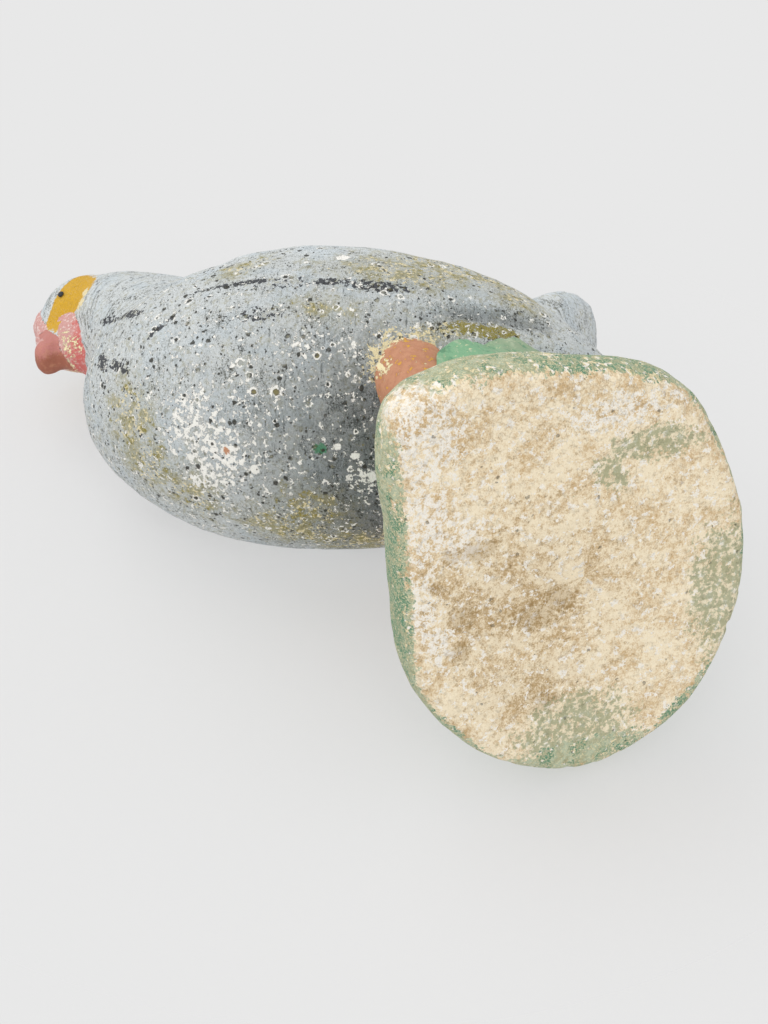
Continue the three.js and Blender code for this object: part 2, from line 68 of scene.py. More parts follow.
# Shaping of wattles, beak, brow and eyes: places and sizes in millimetres, the rest without unit
WATTLE_TOP = 251.0
WATTLE_SWING = 0.34
BEAK_MIDDLE = (0.0, -125.3, 244.8)
BEAK_HALF = (7.8, 9.5, 10.9)
BEAK_SQUARENESS = 0.45
BROW = (0.0, -128.0, 254.0)
BROW_SIZE = 5.2
EYE_SHARE = 0.62
EYE_FLATTENING = 0.5
EYE_LIFT = 0.2
LONE_SWELL = 0.6
COAT_DEPTH = 5.0

# Borders between the paints of the face: planes as normal and offset, and limits in X, Y and Z
CHIN = ((-0.3936, -0.9167, -0.0687), 97.0)
CHIN_EDGE = -4.5
BEAK_TOP = ((-0.7066, -0.6623, -0.2491), 17.5)
COMB_FOOT = (-130.3, 240.5)

# Smoothing: rounds, and the distances from the brow or the head's middle that bound each step
SKIN_ROUNDS = 8
BROW_REACH = 9.0
BROW_ROUNDS = 7
SMOOTH_FROM = (38.0, 46.0, 56.0)
FINE_REACH = 42.0
FINE_SOFT = 40.0
FINE_ROUNDS = 3
FACE_REACH = 46.0
EYE_ROUNDS = 2
LEG_ROUNDS = 8
GROUND_ROUNDS = 10

# Relief: each row is the size of the bumps in millimetres, a seed and a share of the height
BODY_LUMPS = ((26.0, 1, 0.6), (11.0, 2, 0.35))
BODY_GRAIN = ((5.0, 3, 0.2), (2.4, 5, 0.1))
TAIL_RIDGES = ((3.2, 4, 0.42),)
LEG_LUMPS = ((9.0, 7, 0.5), (3.0, 8, 0.2))
SAND_GRAIN = ((2.2, 9, 0.5), (7.0, 10, 0.6))
RIM_LUMPS = ((18.0, 11, 1.3), (7.0, 16, 0.5))
RIM_BREAKS = ((9.0, 14, 1.0), (4.0, 15, 0.4))
GRASS_FURROWS = ((6.2, 12, 1.0), (3.1, 13, 0.35))
GRASS_LUMPS = ((12.0, 17, 0.6), (4.0, 18, 0.25))

# Where the relief comes and goes: places and distances in millimetres, limits and shares
LUMP_FADE = (26.0, 50.0)
TAIL_COMBING = 0.88
TAIL_FADE = 20.0
GROOVE = ((48.4, -7.9, 114.2), (33.1, 39.6, 106.9))
GROOVE_HALF = 5.0
GROOVE_ENDS = 0.35
SLIMMING = 0.6
SLIM_FADE = (50.0, 90.0)
RIM_SAND = 0.35
BREAK_LIMITS = (0.28, 0.6)
FOOT_FADE = (7.0, 1.0)
BLADE_STRETCH = 0.18
FURROW_RISE = 2.0
FURROW_SINK = 0.6
FLAT_SHARE = 0.6

# Paint: shine, and the heights over the body's axis between which chips and pits set in
PAINT_SHINE = 0.25
LOW_SIDE = (44.0, 16.0)

# Stage: each floor's name, front, offset in millimetres and brightness, then lamps and camera
FLOORS = (
    ("floor_level", (0.0, 0.0, 1.0), 0.0, 1.13),
    ("floor_leaning", (0.983, 0.05, -0.175), -84.5, 0.93),
)
KEY_FROM = (0.8, -0.3, 0.5)
FILL_FROM = (0.45, -0.35, -0.8)
LAMP_SPREAD = math.radians(60.0)
CAMERA_AT = (355.0, -221.7, -487.8)
CAMERA_AHEAD = (-0.5215, 0.2581, 0.8133)
CAMERA_RIGHT = (-0.0600, 0.9397, -0.3367)
SENSOR_WIDTH = 36.0


def tint(code):
    """Linear colour of a six-digit screen colour."""
    parts = [int(code[i:i + 2], 16) / 255.0 for i in (0, 2, 4)]
    return [c / 12.92 if c <= 0.04045 else ((c + 0.055) / 1.055) ** 2.4 for c in parts]


def colour_setting(label, code, about):
    """A colour that the user can change, given as a six-digit screen colour."""
    return FloatVectorProperty(name=label, description=about, default=tint(code), size=3,
                               min=0.0, max=1.0, subtype="COLOR")


def length_setting(label, millimetres, about):
    """A length that the user can change, given in millimetres."""
    return FloatProperty(name=label, description=about, default=millimetres * MM, min=0.0,
                         precision=5, subtype="DISTANCE", unit="LENGTH")


class HenFormSettings(bpy.types.PropertyGroup):
    """Sizes of the surface relief."""

    skin_grain: length_setting("Skin grain", 1.28, "Mesh size of the body, neck, head and tail")
    eye_grain: length_setting("Eye grain", 0.3, "Mesh size of the eyes")
    leg_grain: length_setting("Leg grain", 0.8, "Mesh size of the legs and feet")
    base_grain: length_setting("Base grain", 0.95, "Mesh size of the base and grass")
    swell: length_setting("Swell", 0.35, "How far each casting grows to close the bed beside it")
    merge: length_setting("Merge", 0.7, "How much more the wattles grow into each other")
    spread: length_setting("Spread", 2.4, "How far the red paint runs past the wattles")
    lump: length_setting("Lumps", 0.9, "Height of the lumps left by hand building")
    groove: length_setting("Groove", 2.2, "Depth of the hollow under each wing")
    furrow: length_setting("Furrows", 1.1, "Depth of the furrows between the blades of grass")
    sand: length_setting("Sand", 0.6, "Roughness of the bare underside")
    chip: length_setting("Edge chips", 2.4, "Depth of the chips along the foot of the base")
    coat: length_setting("Coat", 0.16, "Thickness of the paint on the comb, beak and wattles")
    smoothing: IntProperty(name="Smoothing", description="Rounds of smoothing on the body",
                           default=18, min=0, max=100)


class HenPaintSettings(bpy.types.PropertyGroup):
    """Colours of the paint, the cement and the iron."""

    pale_grey: colour_setting("Pale grey", "dee3e4", "Lightest blue-grey of the plumage")
    sky_grey: colour_setting("Sky grey", "c3d3df", "Bluer grey in patches of the plumage")
    warm_grey: colour_setting("Warm grey", "8d8f86", "Duller grey of the neck and back")
    shadow_grey: colour_setting("Shadow grey", "75766b", "Darker grey between the brush strokes")
    charcoal: colour_setting("Charcoal", "585d5c", "Dark paint of the belly")
    ink: colour_setting("Ink", "32343a", "Black dry-brush marks")
    pit_dark: colour_setting("Pit dark", "3d3c34", "Shade in the air holes")
    chip_white: colour_setting("Chip white", "fffdf6", "Bare plaster white in the chips")
    cream: colour_setting("Cream", "f1e3b8", "Old cream undercoat")
    lichen: colour_setting("Lichen", "938738", "Olive-yellow growth")
    yellow: colour_setting("Yellow", "dcac30", "Cheek patches")
    pink: colour_setting("Pink", "d6a59f", "Faded red of the comb and wattles")
    red: colour_setting("Red", "cf6f69", "Fresher red of the wattles")
    rose: colour_setting("Rose", "c5837c", "Upper beak")
    brown: colour_setting("Brown", "a26450", "Under side of the beak")
    terracotta: colour_setting("Terracotta", "cc9574", "Legs and feet")
    green: colour_setting("Green", "86b48c", "Grass")
    dull_green: colour_setting("Dull green", "9aab8c", "Weathered green of the grass")
    deep_green: colour_setting("Deep green", "578b6d", "Green left in the hollows")
    sage: colour_setting("Sage", "bec6aa", "Bleached green of the base")
    plaster: colour_setting("Plaster", "fffaf0", "Whitest patches of the bare underside")
    cement: colour_setting("Cement", "fff0d2", "Bare underside")
    ochre: colour_setting("Ochre", "d6b789", "Sand of the underside")
    umber: colour_setting("Umber", "a98b5c", "Damp stains on the underside")
    lead_green: colour_setting("Lead green", "a9ae8c", "Grey-green film on the underside and rim")
    iron: colour_setting("Iron", "6b4a38", "Rusty rods")


class HenStageSettings(bpy.types.PropertyGroup):
    """Floor, light and camera."""

    floor: colour_setting("Floor", "e8e8e8", "Pale floor and backdrop")
    ambient: FloatProperty(name="Ambient", description="Even light from all round",
                           default=0.72, min=0.0)
    key: FloatProperty(name="Key", description="Soft main lamp", default=1.0, min=0.0)
    fill: FloatProperty(name="Fill", description="Soft lamp from the camera's side",
                        default=0.85, min=0.0)
    glow: FloatProperty(name="Glow", description="Share of the floors that shines by itself",
                        default=0.55, min=0.0, max=1.0)
    near: length_setting("Fade start", 170.0, "How far from the hen the floors begin to fade out")
    far: length_setting("Fade end", 330.0, "How far from the hen the floors are gone")
    lens: FloatProperty(name="Lens", description="Focal length", default=68.84 * MM,
                        min=0.001, subtype="DISTANCE_CAMERA", unit="CAMERA")


# Mesh helpers


def swung(place):
    """Wattle: lower parts swing in towards the middle, round the throat."""
    drop = max(0.0, WATTLE_TOP * MM - place.z)
    return Vector((place.x - math.copysign(WATTLE_SWING * drop, place.x), place.y, place.z))


def squared(place):
    """Beak: the egg is pushed out towards the corners of its box."""
    middle = Vector(BEAK_MIDDLE) * MM
    offset = place - middle
    share = [abs(offset[i]) / (BEAK_HALF[i] * MM) for i in range(3)]
    blunt = math.hypot(*share) / max(max(share), 1e-6)
    return middle + offset * blunt ** BEAK_SQUARENESS


def casting(name):
    """The welded mesh of one casting, with its own shaping."""
    shape = bmesh.new()
    shape.from_mesh(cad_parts[name].data)
    bmesh.ops.remove_doubles(shape, verts=shape.verts, dist=1e-6)
    mould = {"left_wattle": swung, "right_wattle": swung, "beak": squared}.get(name)
    if mould:
        for vert in shape.verts:
            vert.co = mould(vert.co)
    shape.normal_update()
    return shape


def welded(swells):
    """One bmesh of several castings, each grown by its own swell."""
    joined = bmesh.new()
    for name, swell in swells.items():
        part = casting(name)
        for vert in part.verts:
            vert.co += vert.normal * swell
        grown = bpy.data.meshes.new(name)
        part.to_mesh(grown)
        part.free()
        joined.from_mesh(grown)
        bpy.data.meshes.remove(grown)
    return joined


def outer_shell(shape):
    """Leaves only the largest connected shell."""
    left = set(shape.verts)
    best = set()
    while left:
        shell = set()
        front = [left.pop()]
        while front:
            vert = front.pop()
            shell.add(vert)
            for edge in vert.link_edges:
                other = edge.other_vert(vert)
                if other in left:
                    left.remove(other)
                    front.append(other)
        if len(shell) > len(best):
            best = shell
    inner = [vert for vert in shape.verts if vert not in best]
    bmesh.ops.delete(shape, geom=inner, context="VERTS")


def recast(shape, grain):
    """The outer shell of the shape, remeshed to an even grain."""
    rough = bpy.data.meshes.new("recast")
    shape.to_mesh(rough)
    shape.free()
    mould = bpy.data.objects.new("recast", rough)
    bpy.context.scene.collection.objects.link(mould)
    remesh = mould.modifiers.new("Remesh", "REMESH")
    remesh.mode = "VOXEL"
    remesh.voxel_size = grain
    ready = mould.evaluated_get(bpy.context.evaluated_depsgraph_get())
    fine = bmesh.new()
    fine.from_mesh(ready.to_mesh())
    ready.to_mesh_clear()
    bpy.data.objects.remove(mould)
    bpy.data.meshes.remove(rough)
    outer_shell(fine)
    return fine


def soften(shape, verts, rounds):
    """Smooths the given points a number of times."""
    for _ in range(rounds):
        bmesh.ops.smooth_vert(shape, verts=verts, factor=0.5, use_axis_x=True, use_axis_y=True,
                              use_axis_z=True)


def roughen(shape, height_at):
    """Moves every point along its normal by what height_at gives for its place and normal."""
    shape.normal_update()
    for vert in shape.verts:
        vert.co += vert.normal * height_at(vert.co.copy(), vert.normal)
    shape.normal_update()


def within(shape, middle, reach):
    """The points of a shape that lie nearer to a middle than a reach in millimetres."""
    return [vert for vert in shape.verts if (vert.co - middle).length < reach * MM]


def waves(place, rows, folded=False):
    """Smooth noise of several sizes; folded, its bumps meet in furrows."""
    total = 0.0
    for size, seed, share in rows:
        shift = Vector((seed * 3.7, seed * 1.9, seed * 2.3))
        value = noise.noise(place / (size * MM) + shift)
        total += share * (abs(value) if folded else value)
    return total


def ease(value, low, high):
    """A smooth step from 0 at low to 1 at high."""
    share = min(1.0, max(0.0, (value - low) / (high - low)))
    return share * share * (3.0 - 2.0 * share)


def fade(length, low, high):
    """A smooth step over a length in metres, with its limits in millimetres."""
    return ease(length, low * MM, high * MM)


def covering(skin, kept, lift, depth):
    """A closed shell over some faces of the skin, lifted a little and let in at its rim."""
    shell = skin.copy()
    shell.faces.ensure_lookup_table()
    rest = [face for face in shell.faces if face.index not in kept]
    bmesh.ops.delete(shell, geom=rest, context="FACES")
    outer_shell(shell)
    shell.normal_update()
    moves = [(vert, vert.normal * (-lift if vert.is_boundary else lift)) for vert in shell.verts]
    for vert, move in moves:
        vert.co += move
    bmesh.ops.solidify(shell, geom=shell.faces[:], thickness=depth)
    bmesh.ops.recalc_face_normals(shell, faces=shell.faces)
    return shell


def put(name, shape, material, nodes):
    """Makes the finished piece, carried by the root body in place of the CAD nodes."""
    for face in shape.faces:
        face.smooth = True
    mesh = bpy.data.meshes.new(name)
    shape.to_mesh(mesh)
    shape.free()
    mesh.materials.append(material)
    piece = bpy.data.objects.new(name, mesh)
    bpy.context.scene.collection.objects.link(piece)
    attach(piece, "root")
    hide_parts(*nodes)


# Shader helpers


class Bench:
    """Adds shader nodes to one tree and links what is handed to them."""

    def __init__(self, tree):
        self.tree = tree

    def add(self, kind, values=(), **settings):
        """One node; values maps sockets to numbers, colours or other sockets."""
        made = self.tree.nodes.new(kind)
        for name, value in settings.items():
            setattr(made, name, value)
        for key, value in dict(values).items():
            self.feed(made.inputs[key], value)
        return made

    def feed(self, socket, value):
        """Links a socket, or sets a plain value on it."""
        if isinstance(value, bpy.types.NodeSocket):
            self.tree.links.new(value, socket)
        elif socket.type == "RGBA":
            socket.default_value = (*value[:3], 1.0)
        else:
            socket.default_value = value

    def out(self, kind, *values, **settings):
        """The first output of a node whose inputs are given in their order."""
        return self.add(kind, enumerate(values), **settings).outputs[0]

    def math(self, operation, *values):
        return self.out("ShaderNodeMath", *values, operation=operation)

    times = partialmethod(math, "MULTIPLY")
    plus = partialmethod(math, "ADD")
    minus = partialmethod(math, "SUBTRACT")
    divide = partialmethod(math, "DIVIDE")
    times_plus = partialmethod(math, "MULTIPLY_ADD")

    def weigh(self, start, *terms):
        """A starting value plus some values, each times its weight."""
        for value, weight in terms:
            start = self.times_plus(value, weight, start)
        return start

    def clamp(self, value):
        return self.out("ShaderNodeClamp", value)

    def most(self, *masks):
        """The largest of several masks."""
        top = masks[0]
        for mask in masks[1:]:
            top = self.math("MAXIMUM", top, mask)
        return top

    def vector(self, operation, *values):
        return self.out("ShaderNodeVectorMath", *values, operation=operation)

    def reach(self, vector):
        """The length of a vector."""
        return self.add("ShaderNodeVectorMath", {0: vector}, operation="LENGTH").outputs["Value"]

    def split(self, vector):
        return self.add("ShaderNodeSeparateXYZ", {0: vector}).outputs

    def join(self, first, second, third=0.0):
        return self.out("ShaderNodeCombineXYZ", first, second, third)

    def mix(self, factor, first, second):
        values = {0: factor, 6: first, 7: second}
        return self.add("ShaderNodeMix", values, data_type="RGBA").outputs[2]

    def ramp(self, value, low, high, to_low=0.0, to_high=1.0):
        """A smooth step from to_low, at low, to to_high, at high."""
        return self.out("ShaderNodeMapRange", value, low, high, to_low, to_high,
                        interpolation_type="SMOOTHSTEP")

    def noise(self, vector, scale, detail, rough, output="Fac"):
        values = {"Vector": vector, "Scale": scale, "Detail": detail, "Roughness": rough}
        return self.add("ShaderNodeTexNoise", values).outputs[output]

    def cloud(self, vector, size, detail=3.0, rough=0.55):
        """Noise whose bumps are about the given size."""
        return self.noise(vector, 1.0 / size, detail, rough)

    def group(self, name, **values):
        """Places a shared node group and returns its outputs by name."""
        return self.add("ShaderNodeGroup", values.items(), node_tree=shared(name)).outputs


class Coat(Bench):
    """A material under way, with its place in millimetres and its colour so far."""

    def __init__(self, name):
        self.material = bpy.data.materials.new(name)
        self.material.use_nodes = True
        super().__init__(self.material.node_tree)
        self.shader = self.tree.nodes["Principled BSDF"]
        metres = self.add("ShaderNodeTexCoord").outputs["Object"]
        self.here = self.vector("MULTIPLY", metres, (1.0 / MM,) * 3)
        self.colour = self.edge = self.field = self.grit = self.patch = self.drift = None

    def grain(self, size, detail, rough=0.55, spread=0.2):
        """Noise of one size, stretched so that it runs from 0 to 1."""
        noisy = self.cloud(self.here, size, detail, rough)
        return self.ramp(noisy, 0.5 - spread, 0.5 + spread)

    def fray(self, coarse, fine):
        """Sets the noise that roughens the edges of all the marks."""
        wide = self.grain(coarse, 2.0)
        self.edge = self.times_plus(self.grain(fine, 4.0, 0.65), 0.6, self.times(wide, 0.4))

    def lay(self, mask, colour, share=None):
        """Paints a colour over what is there, as far as the mask and its share let it."""
        if share is not None:
            mask = self.times(mask, share)
        self.colour = self.mix(mask, self.colour, colour)

    def marks(self, table, where=None):
        """One mask of all the blots in a table of marks."""
        rag, soft, rows = table
        place = self.here if where is None else where
        masks = []
        for centre, size, *own in rows:
            turn, ragged, softness = own + [LEVEL, rag, soft][len(own):]
            angles = tuple(math.radians(angle) for angle in turn)
            masks.append(self.group("blot", Vector=place, Noise=self.edge,
                                    Centre=centre, Size=size, Turn=angles, Ragged=ragged,
                                    Soft=softness)["Mask"])
        return self.most(*masks)

    def flakes(self, mask, limit):
        """Breaks a soft mask up into flakes; a lower limit leaves more of it."""
        total = self.times_plus(self.field, 2.0, self.minus(mask, 1.0))
        return self.times(self.ramp(total, limit, limit + 0.12), self.ramp(mask, 0.02, 0.3))

    def chips(self, size, amount, shift=None):
        """Flaked spots; a shift sets them apart from the material's others."""
        where = self.vector("ADD", self.here, shift) if shift else self.here
        return self.group("chips", Vector=where, Size=size, Amount=amount)["Mask"]

    def holes(self, spacing, radius, share, rims=0.0):
        """Air holes, with their rims."""
        return self.group("pinholes", Vector=self.here, Spacing=spacing, Radius=radius,
                          Share=share, Rims=rims)

    def mirrored(self):
        """The place with its X made positive, for marks that the hen has on both sides."""
        split = self.split(self.here)
        return self.join(self.math("ABSOLUTE", split[0]), split[1], split[2])

    def seen_from(self, where, middle, pitch):
        """A place from a middle point, turned about X so that Y follows the part's own axis."""
        offset = self.vector("SUBTRACT", where, middle)
        return self.add("ShaderNodeVectorRotate", {"Vector": offset, "Angle": pitch},
                        rotation_type="X_AXIS").outputs[0]

    def finish(self, roughness, height, depth):
        """Joins colour, roughness and relief, its depth in millimetres, to the shader."""
        bump = self.add("ShaderNodeBump", {"Height": height, "Strength": 1.0,
                                           "Distance": depth * MM})
        self.feed(self.shader.inputs["Base Color"], self.colour)
        self.feed(self.shader.inputs["Roughness"], roughness)
        self.feed(self.shader.inputs["Normal"], bump.outputs["Normal"])
        self.shader.inputs["Specular IOR Level"].default_value = PAINT_SHINE
        return self.material


def new_group(name, inputs, outputs):
    """A shader node group with a default for each input; returns its bench and sockets."""
    tree = bpy.data.node_groups.new(name, "ShaderNodeTree")
    for label, default in inputs.items():
        kind = "NodeSocketVector" if isinstance(default, tuple) else "NodeSocketFloat"
        socket = tree.interface.new_socket(name=label, in_out="INPUT", socket_type=kind)
        socket.default_value = default
    for label in outputs:
        tree.interface.new_socket(name=label, in_out="OUTPUT", socket_type="NodeSocketFloat")
    given = tree.nodes.new("NodeGroupInput").outputs
    return Bench(tree), given, tree.nodes.new("NodeGroupOutput").inputs


def blot_group():
    """A ragged patch round a centre, for stains, chips and painted marks."""
    inputs = {"Vector": ORIGIN, "Noise": 0.5, "Centre": ORIGIN, "Size": (1.0, 1.0, 1.0),
              "Turn": ORIGIN, "Ragged": 1.0, "Soft": 0.1}
    bench, given, result = new_group("Ragged blot", inputs, ("Mask",))
    offset = bench.vector("SUBTRACT", given["Vector"], given["Centre"])
    turned = bench.add("ShaderNodeVectorRotate", {"Vector": offset, "Rotation": given["Turn"]},
                       rotation_type="EULER_XYZ", invert=True).outputs[0]
    reach = bench.reach(bench.vector("DIVIDE", turned, given["Size"]))
    rough = bench.times(bench.minus(given["Noise"], 0.5), given["Ragged"])
    low, high = bench.plus(1.0, given["Soft"]), bench.minus(1.0, given["Soft"])
    bench.feed(result["Mask"], bench.ramp(bench.plus(reach, rough), low, high))
    return bench.tree


def pinhole_group():
    """Air holes in cast cement, and a pale rim round some of them."""
    inputs = {"Vector": ORIGIN, "Spacing": 5.0, "Radius": 0.9, "Share": 0.7, "Rims": 0.15}
    bench, given, result = new_group("Pinholes", inputs, ("Hole", "Rim"))
    jitter = bench.noise(given["Vector"], 0.9, 2.0, 0.5, "Color")
    centred = bench.vector("SUBTRACT", jitter, (0.5, 0.5, 0.5))
    shift = bench.vector("MULTIPLY", centred, (1.5, 1.5, 1.5))
    cells = bench.add("ShaderNodeTexVoronoi", {
        "Vector": bench.vector("ADD", given["Vector"], shift),
        "Scale": bench.divide(1.0, given["Spacing"])}).outputs
    chance = bench.add("ShaderNodeSeparateColor", {0: cells["Color"]}).outputs
    radius = bench.times(given["Radius"], bench.times_plus(chance[0], 0.8, 0.35))
    share = bench.divide(bench.times(cells["Distance"], given["Spacing"]), radius)
    there = bench.math("LESS_THAN", chance[1], given["Share"])
    ringed = bench.times(bench.math("LESS_THAN", chance[2], given["Rims"]), there)
    ring = bench.times(bench.ramp(share, 1.9, 1.5), bench.ramp(share, 0.8, 1.05))
    bench.feed(result["Hole"], bench.times(bench.ramp(share, 1.0, 0.72), there))
    bench.feed(result["Rim"], bench.times(ring, ringed))
    return bench.tree


def stroke_group():
    """Streaks left by a dry brush, long in the vector's Y."""
    inputs = {"Vector": ORIGIN, "Width": 0.8, "Length": 12.0}
    bench, given, result = new_group("Brush strokes", inputs, ("Streak",))
    size = bench.join(given["Width"], given["Length"], given["Width"])
    scaled = bench.vector("DIVIDE", given["Vector"], size)
    bench.feed(result["Streak"], bench.noise(scaled, 1.0, 3.0, 0.6))
    return bench.tree


def chip_group():
    """Flaked spots: the amount, from 0 to 1, sets how much of the paint is gone."""
    inputs = {"Vector": ORIGIN, "Size": 2.0, "Amount": 0.2}
    bench, given, result = new_group("Paint chips", inputs, ("Mask",))
    spots = bench.noise(given["Vector"], bench.divide(1.0, given["Size"]), 5.0, 0.68)
    limit = bench.times_plus(given["Amount"], -0.36, 0.76)
    bench.feed(result["Mask"], bench.ramp(spots, limit, bench.plus(limit, 0.03)))
    return bench.tree


def sand_group():
    """Sandy cement: soft clouds, and a height."""
    inputs = {"Vector": ORIGIN, "Grain": 0.7, "Cloud": 14.0}
    bench, given, result = new_group("Sandy cement", inputs, ("Clouds", "Height"))
    fine = bench.noise(given["Vector"], bench.divide(0.5, given["Grain"]), 4.0, 0.7)
    wide = bench.noise(given["Vector"], bench.divide(1.0, given["Cloud"]), 5.0, 0.62)
    bench.feed(result["Clouds"], bench.ramp(wide, 0.32, 0.68))
    bench.feed(result["Height"], bench.times_plus(wide, 0.5, fine))
    return bench.tree


GROUPS = {}


def shared(name):
    """The shared node group of that name, built the first time it is asked for."""
    makers = {"blot": blot_group, "pinholes": pinhole_group, "strokes": stroke_group,
              "chips": chip_group, "sand": sand_group}
    if name not in GROUPS:
        GROUPS[name] = makers[name]()
    return GROUPS[name]


# Turns of marks, in degrees: along the body's axis, and none
ALONG = (-28, 0, 0)
LEVEL = (0, 0, 0)

# Marks on the plumage: raggedness, softness, then rows of centre and size in millimetres,
# where a row may add its own turn, raggedness and softness
# Dark charcoal paint of the belly, and partly painted shade under the belly.
BELLY_CHARCOAL_AND_SHADE = (0.6, 0.75, (
    ((14, -36, 88), (42, 30, 26), ALONG), ((-12, -34, 90), (44, 34, 24), ALONG),
))
# Painted shade on the lower flank and under the belly.
UNDERBODY_SHADE = (0.5, 0.8, (
    ((-2, -43, 92), (72, 52, 46), ALONG), ((18, -68, 108), (24, 20, 18), LEVEL, 0.8, 0.7),
))
DULL = (0.7, 0.6, (
    ((0, -86, 222), (40, 40, 40)), ((48, 4, 132), (16, 30, 12), ALONG),
))
INK = (0.9, 0.5, (
    ((54.6, -22, 130), (5, 13, 2.8), ALONG, 0.7, 0.4),
    ((56, -38, 138.6), (5, 5, 1.8), ALONG, 0.7, 0.4), ((54, -68, 156), (5, 18, 1.3), ALONG),
    ((27.2, -107.5, 204.6), (1.9, 3, 15), (3.6, -26, 0), 1.0, 0.5),
    ((37.4, -104.5, 184), (1.6, 3, 9), (14, -26, 0), 1.0, 0.5),
    ((42.5, -97.5, 158.4), (5, 9, 1.2)), ((25.2, -119, 173.4), (2.8, 4.6, 6), LEVEL, 0.6, 0.2),
    ((27.6, -114.8, 163), (1.8, 6, 2.4), (-64, 0, 0), 0.9, 0.4),
    ((-53, -30, 136), (6, 20, 2.6), ALONG), ((-38, -101, 176), (7, 12, 2.6), (-60, 0, 0)),
))
INK_SPECKS = (1.0, 0.8, (
    ((50, -65.5, 136), (5, 12, 3), ALONG), ((52, -52, 146), (6, 14, 3), ALONG),
))
CHIPPED = (0.8, 0.6, (
    ((16, -98.5, 129.5), (13, 12, 10)), ((15, -99, 129), (8, 8, 8), LEVEL, 0.6, 0.5),
    ((3, -93.5, 122), (16, 11, 10)), ((6, -88, 118), (10, 9, 9), LEVEL, 0.8, 0.7),
    ((-3, -42, 92.5), (9, 6, 6)), ((42.5, -56, 119), (5, 5, 5)), ((43, -40, 110), (5, 5, 5)),
))
SPRINKLED = (0.8, 0.7, (((12, -84, 116), (30, 30, 22)),))
LICHEN = (0.9, 0.6, (
    ((-28, -70, 112), (14, 26, 12)), ((-37, -44, 107), (12, 22, 12)),
    ((-16, -64, 103), (10, 18, 9), LEVEL, 0.9, 0.7), ((12, -115, 148), (16, 10, 13)),
    ((-4, -112, 142), (14, 12, 12)), ((-14, -100, 129), (14, 14, 10)),
    ((54, -12, 139), (10, 26, 11), ALONG), ((48, 9, 143), (12, 28, 13), ALONG),
    ((41, 27, 136), (11, 22, 16), ALONG), ((41, 30, 121), (8, 14, 8), ALONG),
    ((44, -3, 106), (8, 9, 4)), ((54, -62, 168), (9, 12, 8)),
    ((56, -44, 126), (9, 14, 6), ALONG, 0.9, 0.7), ((-44, 6, 142), (14, 34, 14), ALONG),
))
HOLLOW_SHADE = (0.8, 0.7, (
    ((44.5, 11, 110.6), (8, 20, 4.6), (-6, 0, 0)), ((39.5, 25, 108.6), (8, 15, 4.6), (-6, 0, 0)),
    ((-42, 18, 109), (9, 26, 4.6), (-6, 0, 0)),
))
STAIN = (0.9, 0.3, (
    ((41.5, 9.5, 104.2), (8, 13, 3), (-14, 0, 0)), ((-41, 10, 104.2), (8, 12, 3), (-14, 0, 0)),
))
LEG_RING = (0.9, 0.3, (
    ((40, -23.5, 101.5), (14.5, 12.4, 8.8)), ((36, -35, 93), (6, 3.4, 8)),
    ((-40, -23, 101.5), (14.5, 12.2, 8.8)),
))
RIMMED = (0.9, 0.12, (
    ((29.5, -75.6, 118.1), (1.9, 1.9, 1.9)),
    ((30.2, -68.6, 114.1), (2.4, 2.2, 2.2), LEVEL, 1.0, 0.12),
    ((10.1, -92.1, 121.3), (1.6, 1.6, 1.6)), ((40.4, -51.9, 114), (1.5, 1.5, 1.5)),
    ((8, -88, 117.9), (2.6, 2.4, 2.4), LEVEL, 0.8, 0.12),
    ((1.4, -79.6, 111.4), (2.1, 1.9, 1.9), LEVEL, 0.7, 0.1),
    ((57.2, -26.7, 155.1), (2.4, 3.2, 2), LEVEL, 0.9, 0.1),
    ((11.1, -51.5, 97.4), (1.3, 1.3, 1.3), LEVEL, 0.7, 0.12),
    ((7.5, -46.3, 94.8), (1.2, 1.9, 1.2)), ((-1.6, -41.3, 92.2), (2.4, 1.8, 2), LEVEL, 1.0, 0.12),
))
HOLLOWS = (0.5, 0.15, (
    ((29.3, -75.3, 117.6), (1.05, 1.05, 1.05)),
    ((29.6, -68.2, 113.5), (1.3, 1.3, 1.3), LEVEL, 0.6, 0.15),
    ((9.9, -91.9, 121.1), (0.8, 0.8, 0.8)), ((40.2, -51.7, 113.8), (0.8, 0.8, 0.8)),
))
RUST_CHIP = (0.7, 0.15, (((8, -88, 117.7), (1.6, 1.5, 1.5)),))
GREEN_FLECK = (0.8, 0.15, (((10.2, -57.5, 99.8), (2.2, 2.2, 3.2)),))
CHEEK = (0.2, 0.05, (((12, -8, 0), (9.6, 20, 90)),))
CHEEK_CHIPS = (1.0, 0.2, (
    ((18.8, -108.5, 252.6), (1.8, 1.6, 3.6), (-30, 0, 0)),
    ((16.3, -111.5, 248.3), (1.8, 1.8, 2.4)), ((15.4, -114, 248.4), (1.8, 1.5, 1.6)),
))
CHEEK_HOLES = (0.9, 0.2, (((16.8, -108.6, 248), (1.5, 1.2, 1.8)),))

# Marks on comb, wattles, beak and legs
FRESH_RED = (0.9, 0.3, (
    ((7, -113, 236), (9, 6, 9)), ((4, -116, 230), (9, 7, 6)),
))
RED_STREAKS = (0.8, 0.4, (
    ((9, -121, 236), (6, 2.2, 9), (20, 0, 0)), ((2, -122, 235), (6, 2.4, 6)),
))
# Under side of the beak: brown paint, and partly painted shade where it faces down.
BEAK_UNDER_BROWN_AND_SHADE = (0.5, 0.2, (((-4, -128, 236), (7, 14, 8)),))
LEG_EDGE = (0.9, 0.4, (
    ((42, -33, 101), (7, 3.6, 8)), ((42, -22, 107), (8, 13, 3)),
))

